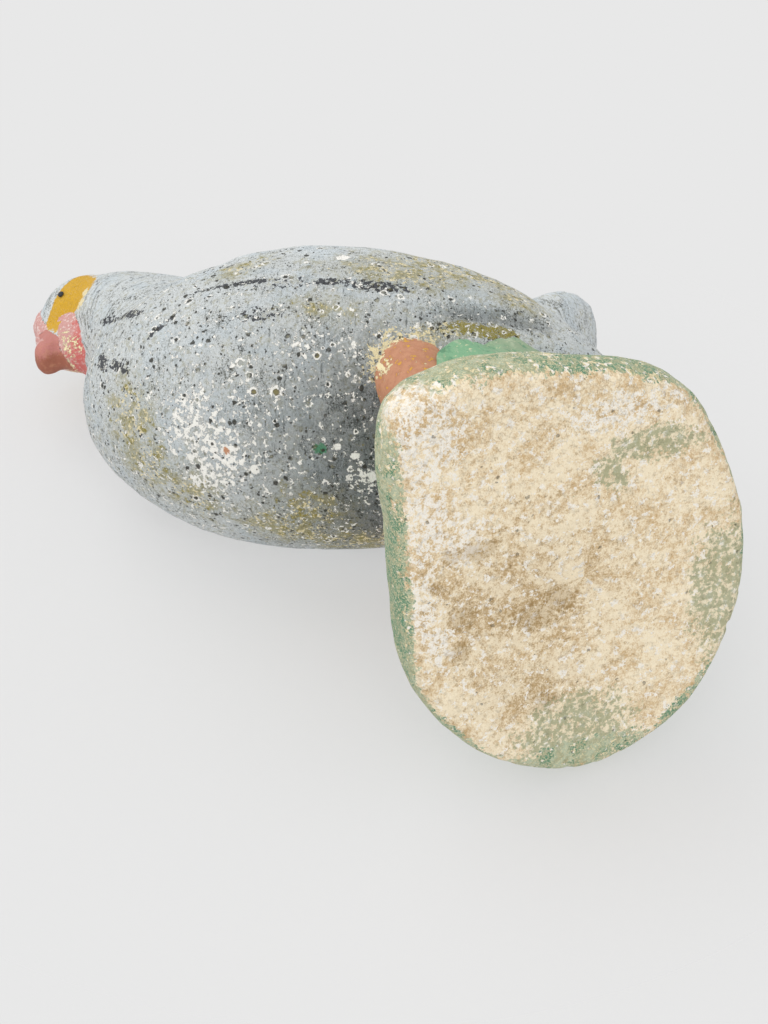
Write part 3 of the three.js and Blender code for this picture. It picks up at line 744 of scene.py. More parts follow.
# Marks on the base
UNDER_WHITE = (1.1, 0.6, (
    ((62, -52, 2), (16, 12, 30), LEVEL, 0.9, 0.5), ((34, -53, 0), (16, 8, 30)),
    ((24, -42, 0), (8, 8, 30)), ((2, -56, 0), (12, 5, 30), LEVEL, 1.1, 0.5),
    ((-12, -52, 0), (9, 5, 30), LEVEL, 1.1, 0.5), ((58, 12, 0), (6, 18, 30), LEVEL, 1.2, 0.6),
))
UNDER_BROWN = (1.1, 0.3, (
    ((19.5, -46.5, 0), (3, 3, 30), LEVEL, 1.0, 0.25), ((20, -36, 0), (4, 6, 30), LEVEL, 1.0, 0.3),
    ((9, -51.5, 0), (2.6, 2.6, 30), LEVEL, 1.0, 0.25), ((-4, -43, 0), (4.5, 6, 30)),
    ((-6, -9, 0), (5.5, 5.5, 30), LEVEL, 1.0, 0.25), ((-11, -18, 0), (4.5, 8, 30)),
    ((-18, -44, 0), (4.5, 4, 30)), ((-46, -14, 0), (4, 5, 30)),
))
UNDER_DAMP = (1.8, 0.8, (
    ((0, -24, 0), (24, 30, 30)), ((-40, -20, 0), (14, 20, 30), LEVEL, 1.6, 0.8),
))
UNDER_GREEN = (1.1, 0.2, (
    ((36, 10, 0), (7.5, 4.6, 30), (0, 0, -35), 1.3, 0.2),
    ((44, 25, 0), (5, 15, 30), (0, 0, 8), 1.4, 0.2), ((-20, 51, 0), (26, 11, 30)),
    ((-64, -4, 0), (16, 20, 30)),
))
RIM_GREEN = (0.9, 0.4, (
    ((72, 4, 6), (9, 20, 14)), ((62, 25, 6), (8, 8, 12)), ((2, -64, 9), (30, 6, 9)),
    ((-61, 26, 5), (9, 16, 12)),
))
RIM_BAND = (0.5, 0.2, (
    ((8, -63, 1), (66, 3.6, 10)), ((-54, -49, 1), (26, 5, 10), (0, 0, -38), 0.6, 0.25),
    ((-76, -4, 1), (9, 30, 10)), ((-62, 42, 1), (24, 6, 10), (0, 0, 46), 0.6, 0.25),
    ((-12, 63, 1), (44, 5, 10)),
))
BARE_CORNER = (0.9, 0.3, (((73, -57, 3), (11, 9, 9)),))


# Paints


def plumage_paint(paint):
    """Blue-grey plumage with strokes, pits, chips, lichen and the yellow cheeks."""
    coat = Coat("plumage_paint")
    coat.fray(7.0, 1.1)
    coat.grit = coat.grain(0.55, 2.0, 0.6)
    coat.field = coat.grain(1.7, 4.0, 0.62)
    coat.patch = coat.grain(6.0, 3.0, 0.6)
    coat.drift = coat.cloud(coat.here, 26.0, 4.0, 0.6)
    body = coat.split(coat.seen_from(coat.here, BODY_MIDDLE, BODY_PITCH))
    streak = brush_strokes(coat, body)
    brushed_grey(coat, paint, body, streak)
    growths(coat, paint)
    cheek = cheek_patches(coat, paint)
    chips = plaster_chips(coat, paint, body, cheek)
    hole = air_holes(coat, paint, body, cheek)
    relief = coat.weigh(0.0, (coat.cloud(coat.here, 2.2, 4.0), 0.8), (streak, 0.5),
                        (coat.field, 0.25), (coat.grit, 0.3), (hole, -1.7), (chips, -0.35))
    return coat.finish(coat.ramp(chips, 0.0, 1.0, 0.72, 0.92), relief, 0.55)


def brush_strokes(coat, body):
    """Streaks along the upper body and across the lower one."""
    around = coat.times(coat.math("ARCTAN2", body[0], body[2]), BODY_ROUND)
    lengthwise = coat.group("strokes", Vector=coat.join(around, body[1]), Width=1.0, Length=12.0)
    crosswise = coat.group("strokes", Vector=coat.join(body[1], around), Width=1.2, Length=6.0)
    upper = coat.ramp(coat.times_plus(coat.edge, 20.0, body[2]), 0.0, 34.0)
    values = {0: upper, 2: crosswise["Streak"], 3: lengthwise["Streak"]}
    return coat.add("ShaderNodeMix", values).outputs[0]


def brushed_grey(coat, paint, body, streak):
    """Streaky grey, bluer and duller in patches, and dark under the belly: charcoal paint there,
    and painted shade on the lower body, under the belly and in the hollow under each wing.
    """
    tone = coat.weigh(-0.73, (coat.drift, 0.9), (streak, 1.0), (coat.grit, 0.65),
                      (coat.field, 0.35), (coat.patch, 0.55))
    tone = coat.clamp(coat.times_plus(tone, 1.45, -0.31))
    coat.colour = coat.mix(tone, paint.shadow_grey, paint.pale_grey)
    straw = coat.ramp(coat.patch, 0.35, 0.8, 0.0, 0.34)
    coat.lay(coat.ramp(coat.field, 0.55, 0.2), paint.lichen, straw)
    apart = coat.vector("ADD", coat.here, (40.0, 11.0, 23.0))
    coat.lay(coat.ramp(coat.cloud(apart, 14.0, 4.0, 0.6), 0.48, 0.62), paint.sky_grey, 0.3)
    coat.lay(coat.marks(DULL), paint.warm_grey, 0.14)
    coat.lay(coat.ramp(body[2], 26.0, -6.0, 0.0, 0.14), paint.warm_grey)
    lines = coat.ramp(coat.field, 0.3, 0.6, 0.1, 0.7)
    coat.lay(coat.ramp(streak, 0.42, 0.32), paint.charcoal, lines)
    # Painted shade: the lower body, the belly with its charcoal paint, and the hollow under each
    # wing are darkened with charcoal.
    dark = coat.weigh(0.0, (coat.marks(UNDERBODY_SHADE), 0.52), (coat.marks(BELLY_CHARCOAL_AND_SHADE), 0.6),
                      (coat.marks(HOLLOW_SHADE), 0.75))
    coat.lay(dark, paint.charcoal, coat.ramp(tone, 0.0, 1.0, 1.2, 0.72))


def growths(coat, paint):
    """Lichen in a film, in spots and as crust, olive stains, and the black dry-brush marks."""
    mossy = coat.marks(LICHEN)
    coat.lay(mossy, paint.lichen, coat.ramp(coat.patch, 0.3, 0.8, 0.2, 0.62))
    growth = coat.times_plus(mossy, 0.3, coat.ramp(coat.drift, 0.45, 0.65, 0.16, 0.3))
    coat.lay(coat.chips(3.0, growth), paint.lichen, coat.ramp(coat.grit, 0.2, 0.8, 0.5, 0.95))
    coat.lay(coat.chips(1.6, coat.times(mossy, 0.6), (9.0, 50.0, 7.0)), paint.cream, 0.85)
    stain = coat.flakes(coat.marks(STAIN), 0.28)
    coat.lay(stain, paint.lichen, coat.ramp(coat.grit, 0.1, 0.7, 0.6, 1.0))
    strokes = coat.flakes(coat.marks(INK), 0.45)
    coat.lay(coat.most(strokes, coat.flakes(coat.marks(INK_SPECKS), 1.05)), paint.ink, 0.92)


def cheek_patches(coat, paint):
    """A yellow band from the eye to the wattle on both sides; returns its mask."""
    head = coat.seen_from(coat.mirrored(), HEAD_MIDDLE, -HEAD_PITCH)
    seen = coat.split(head)
    level = coat.plus(seen[2], coat.times_plus(coat.edge, 1.4, -0.7))
    under = coat.minus(level, coat.ramp(seen[1], -23.0, -8.0, -5.6, -10.8))
    band = coat.times(coat.ramp(under, -0.3, 0.3), coat.ramp(level, 5.7, 5.1))
    cheek = coat.times(band, coat.marks(CHEEK, head))
    coat.lay(cheek, paint.yellow, coat.ramp(coat.grit, 0.0, 0.5, 0.86, 1.0))
    coat.lay(coat.marks(CHEEK_CHIPS), paint.cream)
    coat.lay(coat.marks(CHEEK_HOLES), paint.pit_dark, 0.8)
    return cheek


def plaster_chips(coat, paint, body, cheek):
    """Bare plaster round the legs and in chips on the low side; returns the chips' mask."""
    coat.lay(coat.flakes(coat.marks(LEG_RING), 0.5), paint.cream)
    cluster = coat.weigh(coat.ramp(body[2], 20.0, -20.0, 0.19, 0.48),
                         (coat.marks(CHIPPED), 0.22), (coat.marks(SPRINKLED), 0.1))
    low_chips = coat.times(coat.chips(2.1, cluster), coat.ramp(body[2], *LOW_SIDE))
    chips = coat.times(coat.most(low_chips, coat.marks(RIMMED)), coat.minus(1.0, cheek))
    coat.lay(chips, paint.chip_white)
    coat.lay(coat.marks(RUST_CHIP), paint.terracotta)
    coat.lay(coat.marks(GREEN_FLECK), paint.deep_green)
    return chips


def air_holes(coat, paint, body, cheek):
    """Dark and olive pits, some with a white rim, most on the low side; returns their mask."""
    low_side = coat.ramp(body[2], *LOW_SIDE)
    pits = coat.holes(3.8, 1.0, 0.85, 0.22)
    specks = coat.holes(1.7, 0.48, 0.85)
    rims = coat.times(pits["Rim"], low_side)
    coat.lay(rims, paint.chip_white, coat.ramp(coat.field, 0.3, 0.5))
    amount = coat.times(coat.times_plus(low_side, 0.5, 0.5),
                        coat.ramp(coat.patch, 0.85, 0.35, 0.3, 1.0))
    small = coat.times(coat.most(pits["Hole"], specks["Hole"]), amount)
    hole = coat.times(coat.most(small, coat.marks(HOLLOWS)),
                      coat.ramp(cheek, 0.0, 1.0, 1.0, 0.25))
    olive = coat.ramp(coat.patch, 0.5, 0.62, 0.0, 0.55)
    coat.lay(hole, coat.mix(olive, paint.pit_dark, paint.lichen), 0.92)
    return hole


def red_paint(paint):
    """Faded pink over red with bare cream chips, for the comb and wattles."""
    coat = Coat("red_paint")
    coat.fray(5.0, 0.8)
    coat.field = coat.grain(1.3, 4.0, 0.62)
    sides = coat.mirrored()
    fresh = coat.marks(FRESH_RED, sides)
    faded = coat.times(coat.grain(0.6, 2.0, 0.6, 0.25), 0.5)
    coat.colour = coat.mix(faded, paint.pink, paint.rose)
    coat.lay(fresh, paint.red)
    bloom = coat.ramp(coat.field, 0.5, 0.9, 0.0, 0.45)
    coat.lay(bloom, paint.chip_white, coat.ramp(fresh, 0.0, 1.0, 1.0, 0.5))
    streaks = coat.flakes(coat.marks(RED_STREAKS, sides), 0.95)
    chips = coat.most(streaks, coat.chips(1.6, 0.26))
    coat.lay(chips, paint.cream)
    coat.lay(coat.holes(3.2, 0.5, 0.5)["Hole"], paint.brown, 0.65)
    relief = coat.weigh(0.0, (coat.field, 0.6), (chips, -0.5))
    return coat.finish(coat.ramp(chips, 0.0, 1.0, 0.6, 0.9), relief, 0.35)


def beak_paint(paint):
    """Dusty rose upper beak and a brown under side, which is partly brown paint and partly painted
    shade.
    """
    coat = Coat("beak_paint")
    coat.fray(5.0, 0.8)
    mottle = coat.cloud(coat.here, 2.4, 4.0)
    # The brown under side is partly paint and partly painted shade.
    coat.colour = coat.mix(coat.marks(BEAK_UNDER_BROWN_AND_SHADE), paint.rose, paint.brown)
    coat.lay(coat.ramp(mottle, 0.5, 0.75, 0.0, 0.5), paint.terracotta)
    coat.lay(coat.grain(0.6, 2.0, 0.6, 0.25), paint.brown, 0.35)
    chips = coat.chips(1.8, 0.2)
    coat.lay(chips, paint.cream)
    return coat.finish(coat.ramp(chips, 0.0, 1.0, 0.62, 0.9), mottle, 0.3)


def eye_paint(paint):
    """Dark painted bead, worn grey in places."""
    coat = Coat("eye_paint")
    worn = coat.cloud(coat.here, 0.8, 3.0)
    coat.colour = coat.mix(coat.ramp(worn, 0.5, 0.75, 0.0, 0.5), paint.ink, paint.charcoal)
    return coat.finish(coat.ramp(worn, 0.3, 0.7, 0.4, 0.7), worn, 0.1)


def leg_paint(paint):
    """Terracotta with yellow-orange flecks and a few chips."""
    coat = Coat("leg_paint")
    coat.fray(5.0, 0.8)
    coat.field = coat.grain(1.7, 4.0)
    mottle = coat.cloud(coat.here, 3.0, 4.0)
    coat.colour = coat.mix(coat.ramp(mottle, 0.4, 0.7, 0.0, 0.5), paint.terracotta, paint.brown)
    coat.lay(coat.grain(0.6, 2.0, 0.6, 0.25), paint.brown, 0.25)
    coat.lay(coat.chips(3.0, 0.46), paint.yellow, 0.85)
    worn = coat.ramp(coat.split(coat.here)[2], 96.0, 106.0, 0.28, 0.42)
    rim = coat.flakes(coat.marks(LEG_EDGE, coat.mirrored()), 0.7)
    chips = coat.most(coat.chips(2.4, worn, (31.0, 17.0, 5.0)), rim)
    coat.lay(chips, paint.cream)
    relief = coat.weigh(mottle, (chips, -0.4))
    return coat.finish(coat.ramp(chips, 0.0, 1.0, 0.68, 0.9), relief, 0.45)


def grass_paint(paint):
    """Brush-marked green of the grass, duller towards the back."""
    coat = Coat("grass_paint")
    upright = coat.vector("MULTIPLY", coat.here, (1.0, 1.0, 0.2))
    blades = coat.cloud(upright, 2.6, 4.0, 0.6)
    mottle = coat.cloud(coat.here, 6.0, 4.0)
    back = coat.ramp(coat.times_plus(mottle, 20.0, coat.split(coat.here)[1]), 6.0, 20.0)
    coat.colour = coat.mix(back, paint.green, paint.dull_green)
    coat.lay(coat.ramp(blades, 0.47, 0.34, 0.0, 0.75), paint.deep_green)
    coat.lay(coat.ramp(blades, 0.54, 0.68, 0.0, 0.6), paint.sage)
    coat.lay(coat.grain(0.7, 2.0, 0.6, 0.25), paint.deep_green, 0.32)
    chips = coat.chips(2.4, 0.36)
    coat.lay(chips, paint.cream)
    relief = coat.weigh(0.0, (mottle, 0.6), (blades, 1.2))
    return coat.finish(coat.ramp(chips, 0.0, 1.0, 0.66, 0.9), relief, 0.6)


def base_finish(paint):
    """Bare sandy cement below, worn green paint on the rim and top."""
    coat = Coat("base_finish")
    coat.fray(9.0, 1.6)
    coat.field = coat.grain(2.2, 5.0, 0.66)
    coat.grit = coat.grain(0.6, 3.0, 0.65, 0.25)
    sand = coat.group("sand", Vector=coat.here, Grain=0.5, Cloud=15.0)
    bare_cement(coat, paint, sand["Clouds"])
    painted, bare = rim_paint(coat, paint)
    pits = coat.holes(5.0, 0.6, 0.6)["Hole"]
    coat.lay(pits, paint.pit_dark, 0.5)
    relief = coat.weigh(sand["Height"], (pits, -0.9), (bare, -0.25))
    return coat.finish(coat.ramp(painted, 0.0, 1.0, 0.95, 0.75), relief, 0.6)


def bare_cement(coat, paint, clouds):
    """Sand with white, brown, damp and green patches."""
    tone = coat.weigh(-0.52, (clouds, 0.8), (coat.field, 0.8), (coat.grit, 0.9))
    coat.colour = coat.mix(coat.clamp(tone), paint.ochre, paint.cement)
    coat.lay(coat.marks(UNDER_DAMP), paint.umber, coat.ramp(tone, 0.1, 0.9, 0.55, 0.15))
    white = coat.most(coat.flakes(coat.marks(UNDER_WHITE), 0.8), coat.chips(3.2, 0.55))
    coat.lay(white, paint.plaster, coat.ramp(coat.grit, 0.1, 0.6, 0.4, 0.95))
    coat.lay(coat.marks(UNDER_BROWN), paint.umber, coat.ramp(tone, 0.0, 1.0, 0.9, 0.35))
    coat.lay(coat.chips(3.4, 0.4, (70.0, 31.0, 0.0)), paint.umber, 0.5)
    film = coat.ramp(coat.field, 0.75, 0.45, 0.15, 0.8)
    coat.lay(coat.marks(UNDER_GREEN), paint.lead_green, film)


def rim_paint(coat, paint):
    """Bleached and chipped green; returns its mask and that of its chips."""
    across, _, up = coat.split(coat.here)
    height = coat.times_plus(coat.minus(coat.edge, 0.5), 5.0, up)
    corner = coat.minus(1.0, coat.marks(BARE_CORNER))
    painted = coat.times(coat.ramp(height, 2.3, 2.9), corner)
    painted = coat.most(painted, coat.flakes(coat.marks(RIM_BAND), 0.4))
    patches = coat.ramp(coat.cloud(coat.here, 6.0, 6.0, 0.72), 0.51, 0.55)
    deep = coat.most(patches, coat.flakes(coat.marks(RIM_GREEN), 0.8))
    worn = coat.plus(coat.ramp(height, 10.0, 2.0, 0.36, 0.5),
                     coat.ramp(across, 40.0, 70.0, 0.0, 0.2))
    bare = coat.chips(3.0, worn)
    cement = coat.colour
    coat.colour = coat.mix(coat.ramp(coat.field, 0.2, 0.8), paint.lead_green, paint.sage)
    coat.lay(deep, paint.deep_green, coat.ramp(coat.grit, 0.2, 0.7, 0.95, 0.5))
    coat.lay(coat.ramp(coat.grit, 0.55, 0.9, 0.0, 0.75), paint.cream)
    coat.lay(bare, coat.mix(coat.ramp(coat.field, 0.4, 0.8), paint.cream, paint.plaster))
    coat.colour = coat.mix(painted, cement, coat.colour)
    return painted, bare


def rusty_iron(paint):
    """Flaky rust on the rods."""
    coat = Coat("rusty_iron")
    flake = coat.cloud(coat.here, 2.0, 5.0, 0.65)
    coat.colour = coat.mix(coat.ramp(flake, 0.4, 0.65), paint.iron, paint.terracotta)
    coat.feed(coat.shader.inputs["Metallic"], coat.ramp(flake, 0.5, 0.35, 0.0, 0.7))
    return coat.finish(coat.ramp(flake, 0.3, 0.7, 0.6, 0.95), flake, 0.3)


def floor_paint(name, colour, level, stage):
    """Pale matt paper, seen only from its front, that fades out away from the hen."""
    material = bpy.data.materials.new(name)
    material.use_nodes = True
    material.node_tree.nodes.clear()
    bench = Bench(material.node_tree)
    place = bench.add("ShaderNodeTexCoord").outputs["Object"]
    shades = [[min(1.0, part * level * tone) for part in colour] for tone in (0.99, 1.01)]
    shade = bench.mix(bench.cloud(place, 0.004, 3.0), *shades)
    paper = bench.out("ShaderNodeBsdfDiffuse", shade)
    shine = bench.out("ShaderNodeEmission", colour, 1.0)
    sheet = bench.out("ShaderNodeMixShader", stage.glow, paper, shine)
    clear = bench.out("ShaderNodeBsdfTransparent")
    reach = bench.reach(bench.vector("SUBTRACT", place, Vector(BODY_MIDDLE) * MM))
    seen = bench.add("ShaderNodeLightPath").outputs["Is Camera Ray"]
    back = bench.add("ShaderNodeNewGeometry").outputs["Backfacing"]
    shown = bench.times(seen, bench.minus(1.0, back))
    shown = bench.times(shown, bench.ramp(reach, stage.far, stage.near))
    both = bench.out("ShaderNodeMixShader", shown, clear, sheet)
    bench.feed(bench.add("ShaderNodeOutputMaterial").inputs["Surface"], both)
    return material


# Operators


class HEN_OT_skin(bpy.types.Operator):
    """Casts the body, neck, head, wings and tail as one skin of painted cement"""

    bl_idname = "hen.build_skin"
    bl_label = "Build Skin"

    def execute(self, context):
        form = context.scene.hen_form
        swells = {name: form.swell for name in PLUMAGE + ("neck_rod", "tail_rod", "comb", "beak")}
        swells.update({name: form.swell + form.merge for name in ("left_wattle", "right_wattle")})
        cast = welded(swells)
        brow = Vector(BROW) * MM
        bmesh.ops.create_icosphere(cast, subdivisions=3, radius=BROW_SIZE * MM,
                                   matrix=Matrix.Translation(brow))
        skin = recast(cast, form.skin_grain)
        middle = Vector(HEAD_MIDDLE) * MM
        soften(skin, skin.verts[:], SKIN_ROUNDS)
        soften(skin, within(skin, brow, BROW_REACH), BROW_ROUNDS)
        for reach in SMOOTH_FROM:
            away = [vert for vert in skin.verts if (vert.co - middle).length > reach * MM]
            soften(skin, away, form.smoothing // len(SMOOTH_FROM))
        close = set(within(skin, middle, FINE_REACH))
        edges = [edge for edge in skin.edges if close.issuperset(edge.verts)]
        bmesh.ops.subdivide_edges(skin, edges=edges, cuts=1, use_grid_fill=True)
        soften(skin, within(skin, middle, FINE_SOFT), FINE_ROUNDS)
        roughen(skin, self.relief(form))
        put("hen_skin", skin, plumage_paint(context.scene.hen_paint), PLUMAGE)
        return {"FINISHED"}

    def relief(self, form):
        """Lumps of hand building, a combed tail and a hollow under each wing."""
        middle = Vector(HEAD_MIDDLE) * MM
        root = Vector(TAIL_ROOT) * MM
        fan = Vector((0.0, math.cos(TAIL_PITCH), math.sin(TAIL_PITCH)))
        start, end = (Vector(place) * MM for place in GROOVE)
        run = end - start

        def height(place, normal):
            reach = (place - middle).length
            lumps = waves(place, BODY_LUMPS) * fade(reach, *LUMP_FADE) + waves(place, BODY_GRAIN)
            along = (place - root).dot(fan)
            ridge = waves(place - fan * (along * TAIL_COMBING), TAIL_RIDGES)
            ridge *= fade(along, 0.0, TAIL_FADE)
            side = Vector((abs(place.x), place.y, place.z))
            share = min(1.0, max(0.0, (side - start).dot(run) / run.length_squared))
            gap = (side - start - run * share).length
            arch = GROOVE_ENDS + (1.0 - GROOVE_ENDS) * math.sin(math.pi * share)
            hollow = math.exp(-(gap / (GROOVE_HALF * MM)) ** 2) * arch
            slim = SLIMMING * fade(reach, *SLIM_FADE)
            return (lumps + ridge - slim) * form.lump - hollow * form.groove

        return height


class HEN_OT_face(bpy.types.Operator):
    """Coats the comb, beak and wattles and sets the eyes"""

    bl_idname = "hen.build_face"
    bl_label = "Build Face"

    def execute(self, context):
        form = context.scene.hen_form
        paint = context.scene.hen_paint
        skin = bmesh.new()
        skin.from_mesh(bpy.data.objects["hen_skin"].data)
        skin.normal_update()
        faces = self.nearest(form, skin)
        red = red_paint(paint)
        rows = (
            ("hen_comb", "comb", red, "red_paint"),
            ("hen_beak", "beak", beak_paint(paint), "brown_paint"),
            ("hen_wattle_left", "left_wattle", red, "red_paint"),
            ("hen_wattle_right", "right_wattle", red, "red_paint"),
        )
        for name, node, material, slot in rows:
            shell = covering(skin, faces[node], form.coat, form.coat * COAT_DEPTH)
            put(name, shell, material, (node,))
        skin.free()
        bead = eye_paint(paint)
        for side in ("left", "right"):
            node = f"{side}_eye"
            put(f"hen_eye_{side}", self.eye(form, node), bead, (node,))
        return {"FINISHED"}

    def nearest(self, form, skin):
        """Sorts the faces round the head by their nearest casting; the wattles spread a little."""
        trees = {}
        for node in FACE + ("head", "neck"):
            shape = casting(node)
            trees[node] = BVHTree.FromBMesh(shape)
            shape.free()
        faces = {node: set() for node in trees}
        middle = Vector(HEAD_MIDDLE) * MM
        for face in skin.faces:
            centre = face.calc_center_median()
            if (centre - middle).length < FACE_REACH * MM:
                gaps = {node: tree.find_nearest(centre)[3] for node, tree in trees.items()}
                node = min(gaps, key=gaps.get)
                wattle = min(("left_wattle", "right_wattle"), key=gaps.get)
                if node in ("head", "neck") and gaps[wattle] < form.spread:
                    node = wattle
                node = self.border(node, centre)
                faces[node].update(other.index for vert in face.verts for other in vert.link_faces)
        return faces

    def border(self, node, centre):
        """Where the painter's hand left the castings: chin, top of the beak, foot of the comb."""
        side = Vector((abs(centre.x), centre.y, centre.z))
        chin, chin_at = CHIN
        top, top_at = BEAK_TOP
        comb_front, comb_foot = COMB_FOOT
        if node.endswith("wattle") and centre.x > CHIN_EDGE * MM:
            return "beak" if centre.dot(Vector(chin)) > chin_at * MM else "left_wattle"
        if node == "beak" and centre.y < comb_front * MM and centre.z > comb_foot * MM:
            return "comb"
        if node == "beak" and side.dot(Vector(top)) < top_at * MM:
            return "head"
        return node

    def eye(self, form, node):
        """A bead pressed flat towards the head."""
        bead = recast(welded({node: form.swell * LONE_SWELL}), form.eye_grain)
        soften(bead, bead.verts[:], EYE_ROUNDS)
        centre = sum((vert.co for vert in bead.verts), Vector()) / len(bead.verts)
        outward = (centre - Vector(HEAD_MIDDLE) * MM).normalized()
        for vert in bead.verts:
            offset = (vert.co - centre) * EYE_SHARE
            sunk = offset.dot(outward) * EYE_FLATTENING - EYE_LIFT * MM
            vert.co = centre + offset - outward * sunk
        return bead


class HEN_OT_legs(bpy.types.Operator):
    """Casts the legs and feet"""

    bl_idname = "hen.build_legs"
    bl_label = "Build Legs"

    def execute(self, context):
        form = context.scene.hen_form
        material = leg_paint(context.scene.hen_paint)
        for side in ("left", "right"):
            for part in ("leg", "foot"):
                node = f"{side}_{part}"
                shape = recast(welded({node: form.swell * LONE_SWELL}), form.leg_grain)
                soften(shape, shape.verts[:], LEG_ROUNDS)
                roughen(shape, lambda place, normal: form.lump * waves(place, LEG_LUMPS))
                put(f"hen_{part}_{side}", shape, material, (node,))
        return {"FINISHED"}


class HEN_OT_ground(bpy.types.Operator):
    """Casts the base with its rough underside, and the grass on it"""

    bl_idname = "hen.build_ground"
    bl_label = "Build Ground"

    def execute(self, context):
        form = context.scene.hen_form
        paint = context.scene.hen_paint
        slab = recast(welded({"base_slab": 0.0}), form.base_grain)
        soften(slab, slab.verts[:], GROUND_ROUNDS)
        roughen(slab, lambda place, normal: self.wear(form, place, normal))
        put("hen_base", slab, base_finish(paint), ("base_slab",))
        grass = recast(welded({"grass_mound": form.swell * LONE_SWELL}), form.base_grain)
        soften(grass, grass.verts[:], GROUND_ROUNDS)
        roughen(grass, lambda place, normal: self.blades(form, place, normal))
        put("hen_grass", grass, grass_paint(paint), ("grass_mound",))
        return {"FINISHED"}

    def wear(self, form, place, normal):
        """Sand and hollows below, a wavy rim, and chips along the foot of it."""
        upright = 1.0 - abs(normal.z)
        bulge = waves(place, RIM_LUMPS) * upright
        under = RIM_SAND + (1.0 - RIM_SAND) * max(0.0, -normal.z)
        sand = waves(place, SAND_GRAIN, True) * under
        foot = ease(waves(place, RIM_BREAKS), *BREAK_LIMITS) * fade(place.z, *FOOT_FADE) * upright
        return bulge * form.lump - sand * form.sand - foot * form.chip

    def blades(self, form, place, normal):
        """Furrows that run up the sides of the mound between broad blades."""
        stretched = Vector((place.x, place.y, place.z * BLADE_STRETCH))
        furrow = waves(stretched, GRASS_FURROWS, True) * FURROW_RISE - FURROW_SINK
        side = 1.0 - FLAT_SHARE * max(0.0, normal.z)
        return waves(place, GRASS_LUMPS) * form.lump + furrow * side * form.furrow


class HEN_OT_rods(bpy.types.Operator):
    """Gives the iron rods inside the hen their rust"""

    bl_idname = "hen.dress_rods"
    bl_label = "Dress Rods"

    def execute(self, context):
        rust = rusty_iron(context.scene.hen_paint)
        for name in ("left_leg_rod", "right_leg_rod", "neck_rod", "tail_rod"):
            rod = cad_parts[name]
            rod.data.materials.clear()
            rod.data.materials.append(rust)
        return {"FINISHED"}


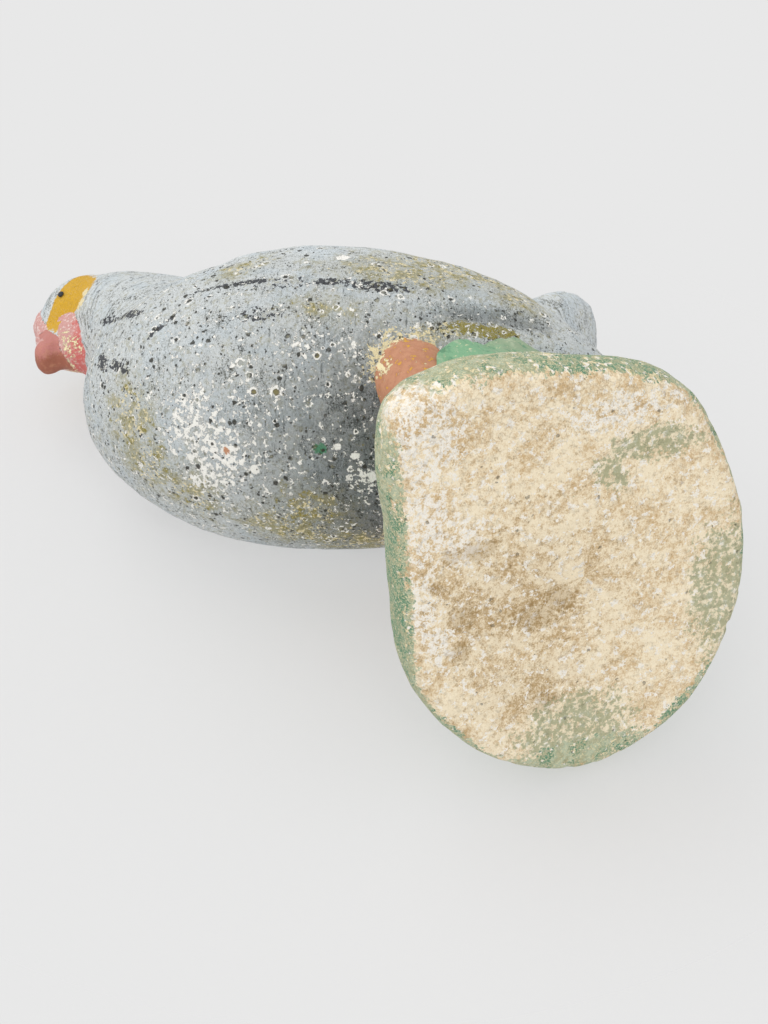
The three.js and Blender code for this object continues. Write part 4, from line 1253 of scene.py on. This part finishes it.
class HEN_OT_stage(bpy.types.Operator):
    """Sets the pale floors, the soft light and the camera"""

    bl_idname = "hen.build_stage"
    bl_label = "Build Stage"

    def execute(self, context):
        stage = context.scene.hen_stage
        self.floors(context, stage)
        self.lights(context, stage)
        self.camera(context, stage)
        context.scene.view_settings.view_transform = "Standard"
        return {"FINISHED"}

    def floors(self, context, stage):
        """A level floor under the base and a leaning one beside the hen."""
        for name, front, offset, level in FLOORS:
            normal = Vector(front).normalized()
            sheet = bmesh.new()
            turn = normal.to_track_quat("Z", "Y").to_matrix().to_4x4()
            bmesh.ops.create_grid(sheet, x_segments=1, y_segments=1, size=1.0,
                                  matrix=Matrix.Translation(normal * (offset * MM)) @ turn)
            mesh = bpy.data.meshes.new(name)
            sheet.to_mesh(mesh)
            sheet.free()
            mesh.materials.append(floor_paint(name, stage.floor, level, stage))
            floor = bpy.data.objects.new(name, mesh)
            context.scene.collection.objects.link(floor)

    def lights(self, context, stage):
        """A pale world that lights evenly, and two soft suns."""
        world = bpy.data.worlds.new("studio")
        world.use_nodes = True
        world.node_tree.nodes.clear()
        bench = Bench(world.node_tree)
        rays = bench.add("ShaderNodeLightPath").outputs
        seen = bench.most(rays["Is Camera Ray"], rays["Is Glossy Ray"],
                          rays["Is Transmission Ray"])
        even = bench.out("ShaderNodeBackground", (1.0, 1.0, 1.0), stage.ambient)
        paper = bench.out("ShaderNodeBackground", stage.floor, 1.0)
        both = bench.out("ShaderNodeMixShader", seen, even, paper)
        bench.feed(bench.add("ShaderNodeOutputWorld").inputs["Surface"], both)
        context.scene.world = world
        for name, source, strength in (("key", KEY_FROM, stage.key),
                                       ("fill", FILL_FROM, stage.fill)):
            lamp = bpy.data.lights.new(name, "SUN")
            lamp.energy = strength
            lamp.angle = LAMP_SPREAD
            sun = bpy.data.objects.new(name, lamp)
            sun.rotation_euler = Vector(source).to_track_quat("Z", "Y").to_euler()
            context.scene.collection.objects.link(sun)

    def camera(self, context, stage):
        """Looks up at the bare underside from the hen's left front."""
        lens = bpy.data.cameras.new("camera")
        lens.lens = stage.lens / MM
        lens.sensor_width = SENSOR_WIDTH
        camera = bpy.data.objects.new("camera", lens)
        ahead = Vector(CAMERA_AHEAD).normalized()
        right = Vector(CAMERA_RIGHT).normalized()
        turn = Matrix((right, right.cross(ahead), -ahead)).transposed().to_4x4()
        camera.matrix_world = Matrix.Translation(Vector(CAMERA_AT) * MM) @ turn
        context.scene.collection.objects.link(camera)
        context.scene.camera = camera


class HEN_PT_panel(bpy.types.Panel):
    """Lists the hen's settings and steps"""

    bl_idname = "HEN_PT_panel"
    bl_label = "Garden Hen"
    bl_space_type = "VIEW_3D"
    bl_region_type = "UI"
    bl_category = "Garden Hen"

    def draw(self, context):
        layout = self.layout
        for step in STEPS:
            layout.operator(step.bl_idname)
        for settings in (context.scene.hen_form, context.scene.hen_paint, context.scene.hen_stage):
            box = layout.box()
            for name in settings.bl_rna.properties.keys():
                if name not in ("rna_type", "name"):
                    box.prop(settings, name)


SETTINGS = (HenFormSettings, HenPaintSettings, HenStageSettings)
STEPS = (HEN_OT_skin, HEN_OT_face, HEN_OT_legs, HEN_OT_ground, HEN_OT_rods, HEN_OT_stage)


def register():
    """Registers the settings, the steps and the panel."""
    for item in SETTINGS + STEPS + (HEN_PT_panel,):
        bpy.utils.register_class(item)
    bpy.types.Scene.hen_form = PointerProperty(type=HenFormSettings)
    bpy.types.Scene.hen_paint = PointerProperty(type=HenPaintSettings)
    bpy.types.Scene.hen_stage = PointerProperty(type=HenStageSettings)


def unregister():
    """Takes away what register added."""
    del bpy.types.Scene.hen_stage
    del bpy.types.Scene.hen_paint
    del bpy.types.Scene.hen_form
    for item in reversed(SETTINGS + STEPS + (HEN_PT_panel,)):
        bpy.utils.unregister_class(item)


def main():
    """Builds the hen and its stage."""
    register()
    bpy.ops.hen.build_skin()
    bpy.ops.hen.build_face()
    bpy.ops.hen.build_legs()
    bpy.ops.hen.build_ground()
    bpy.ops.hen.dress_rods()
    bpy.ops.hen.build_stage()


if __name__ == "__main__":
    main()
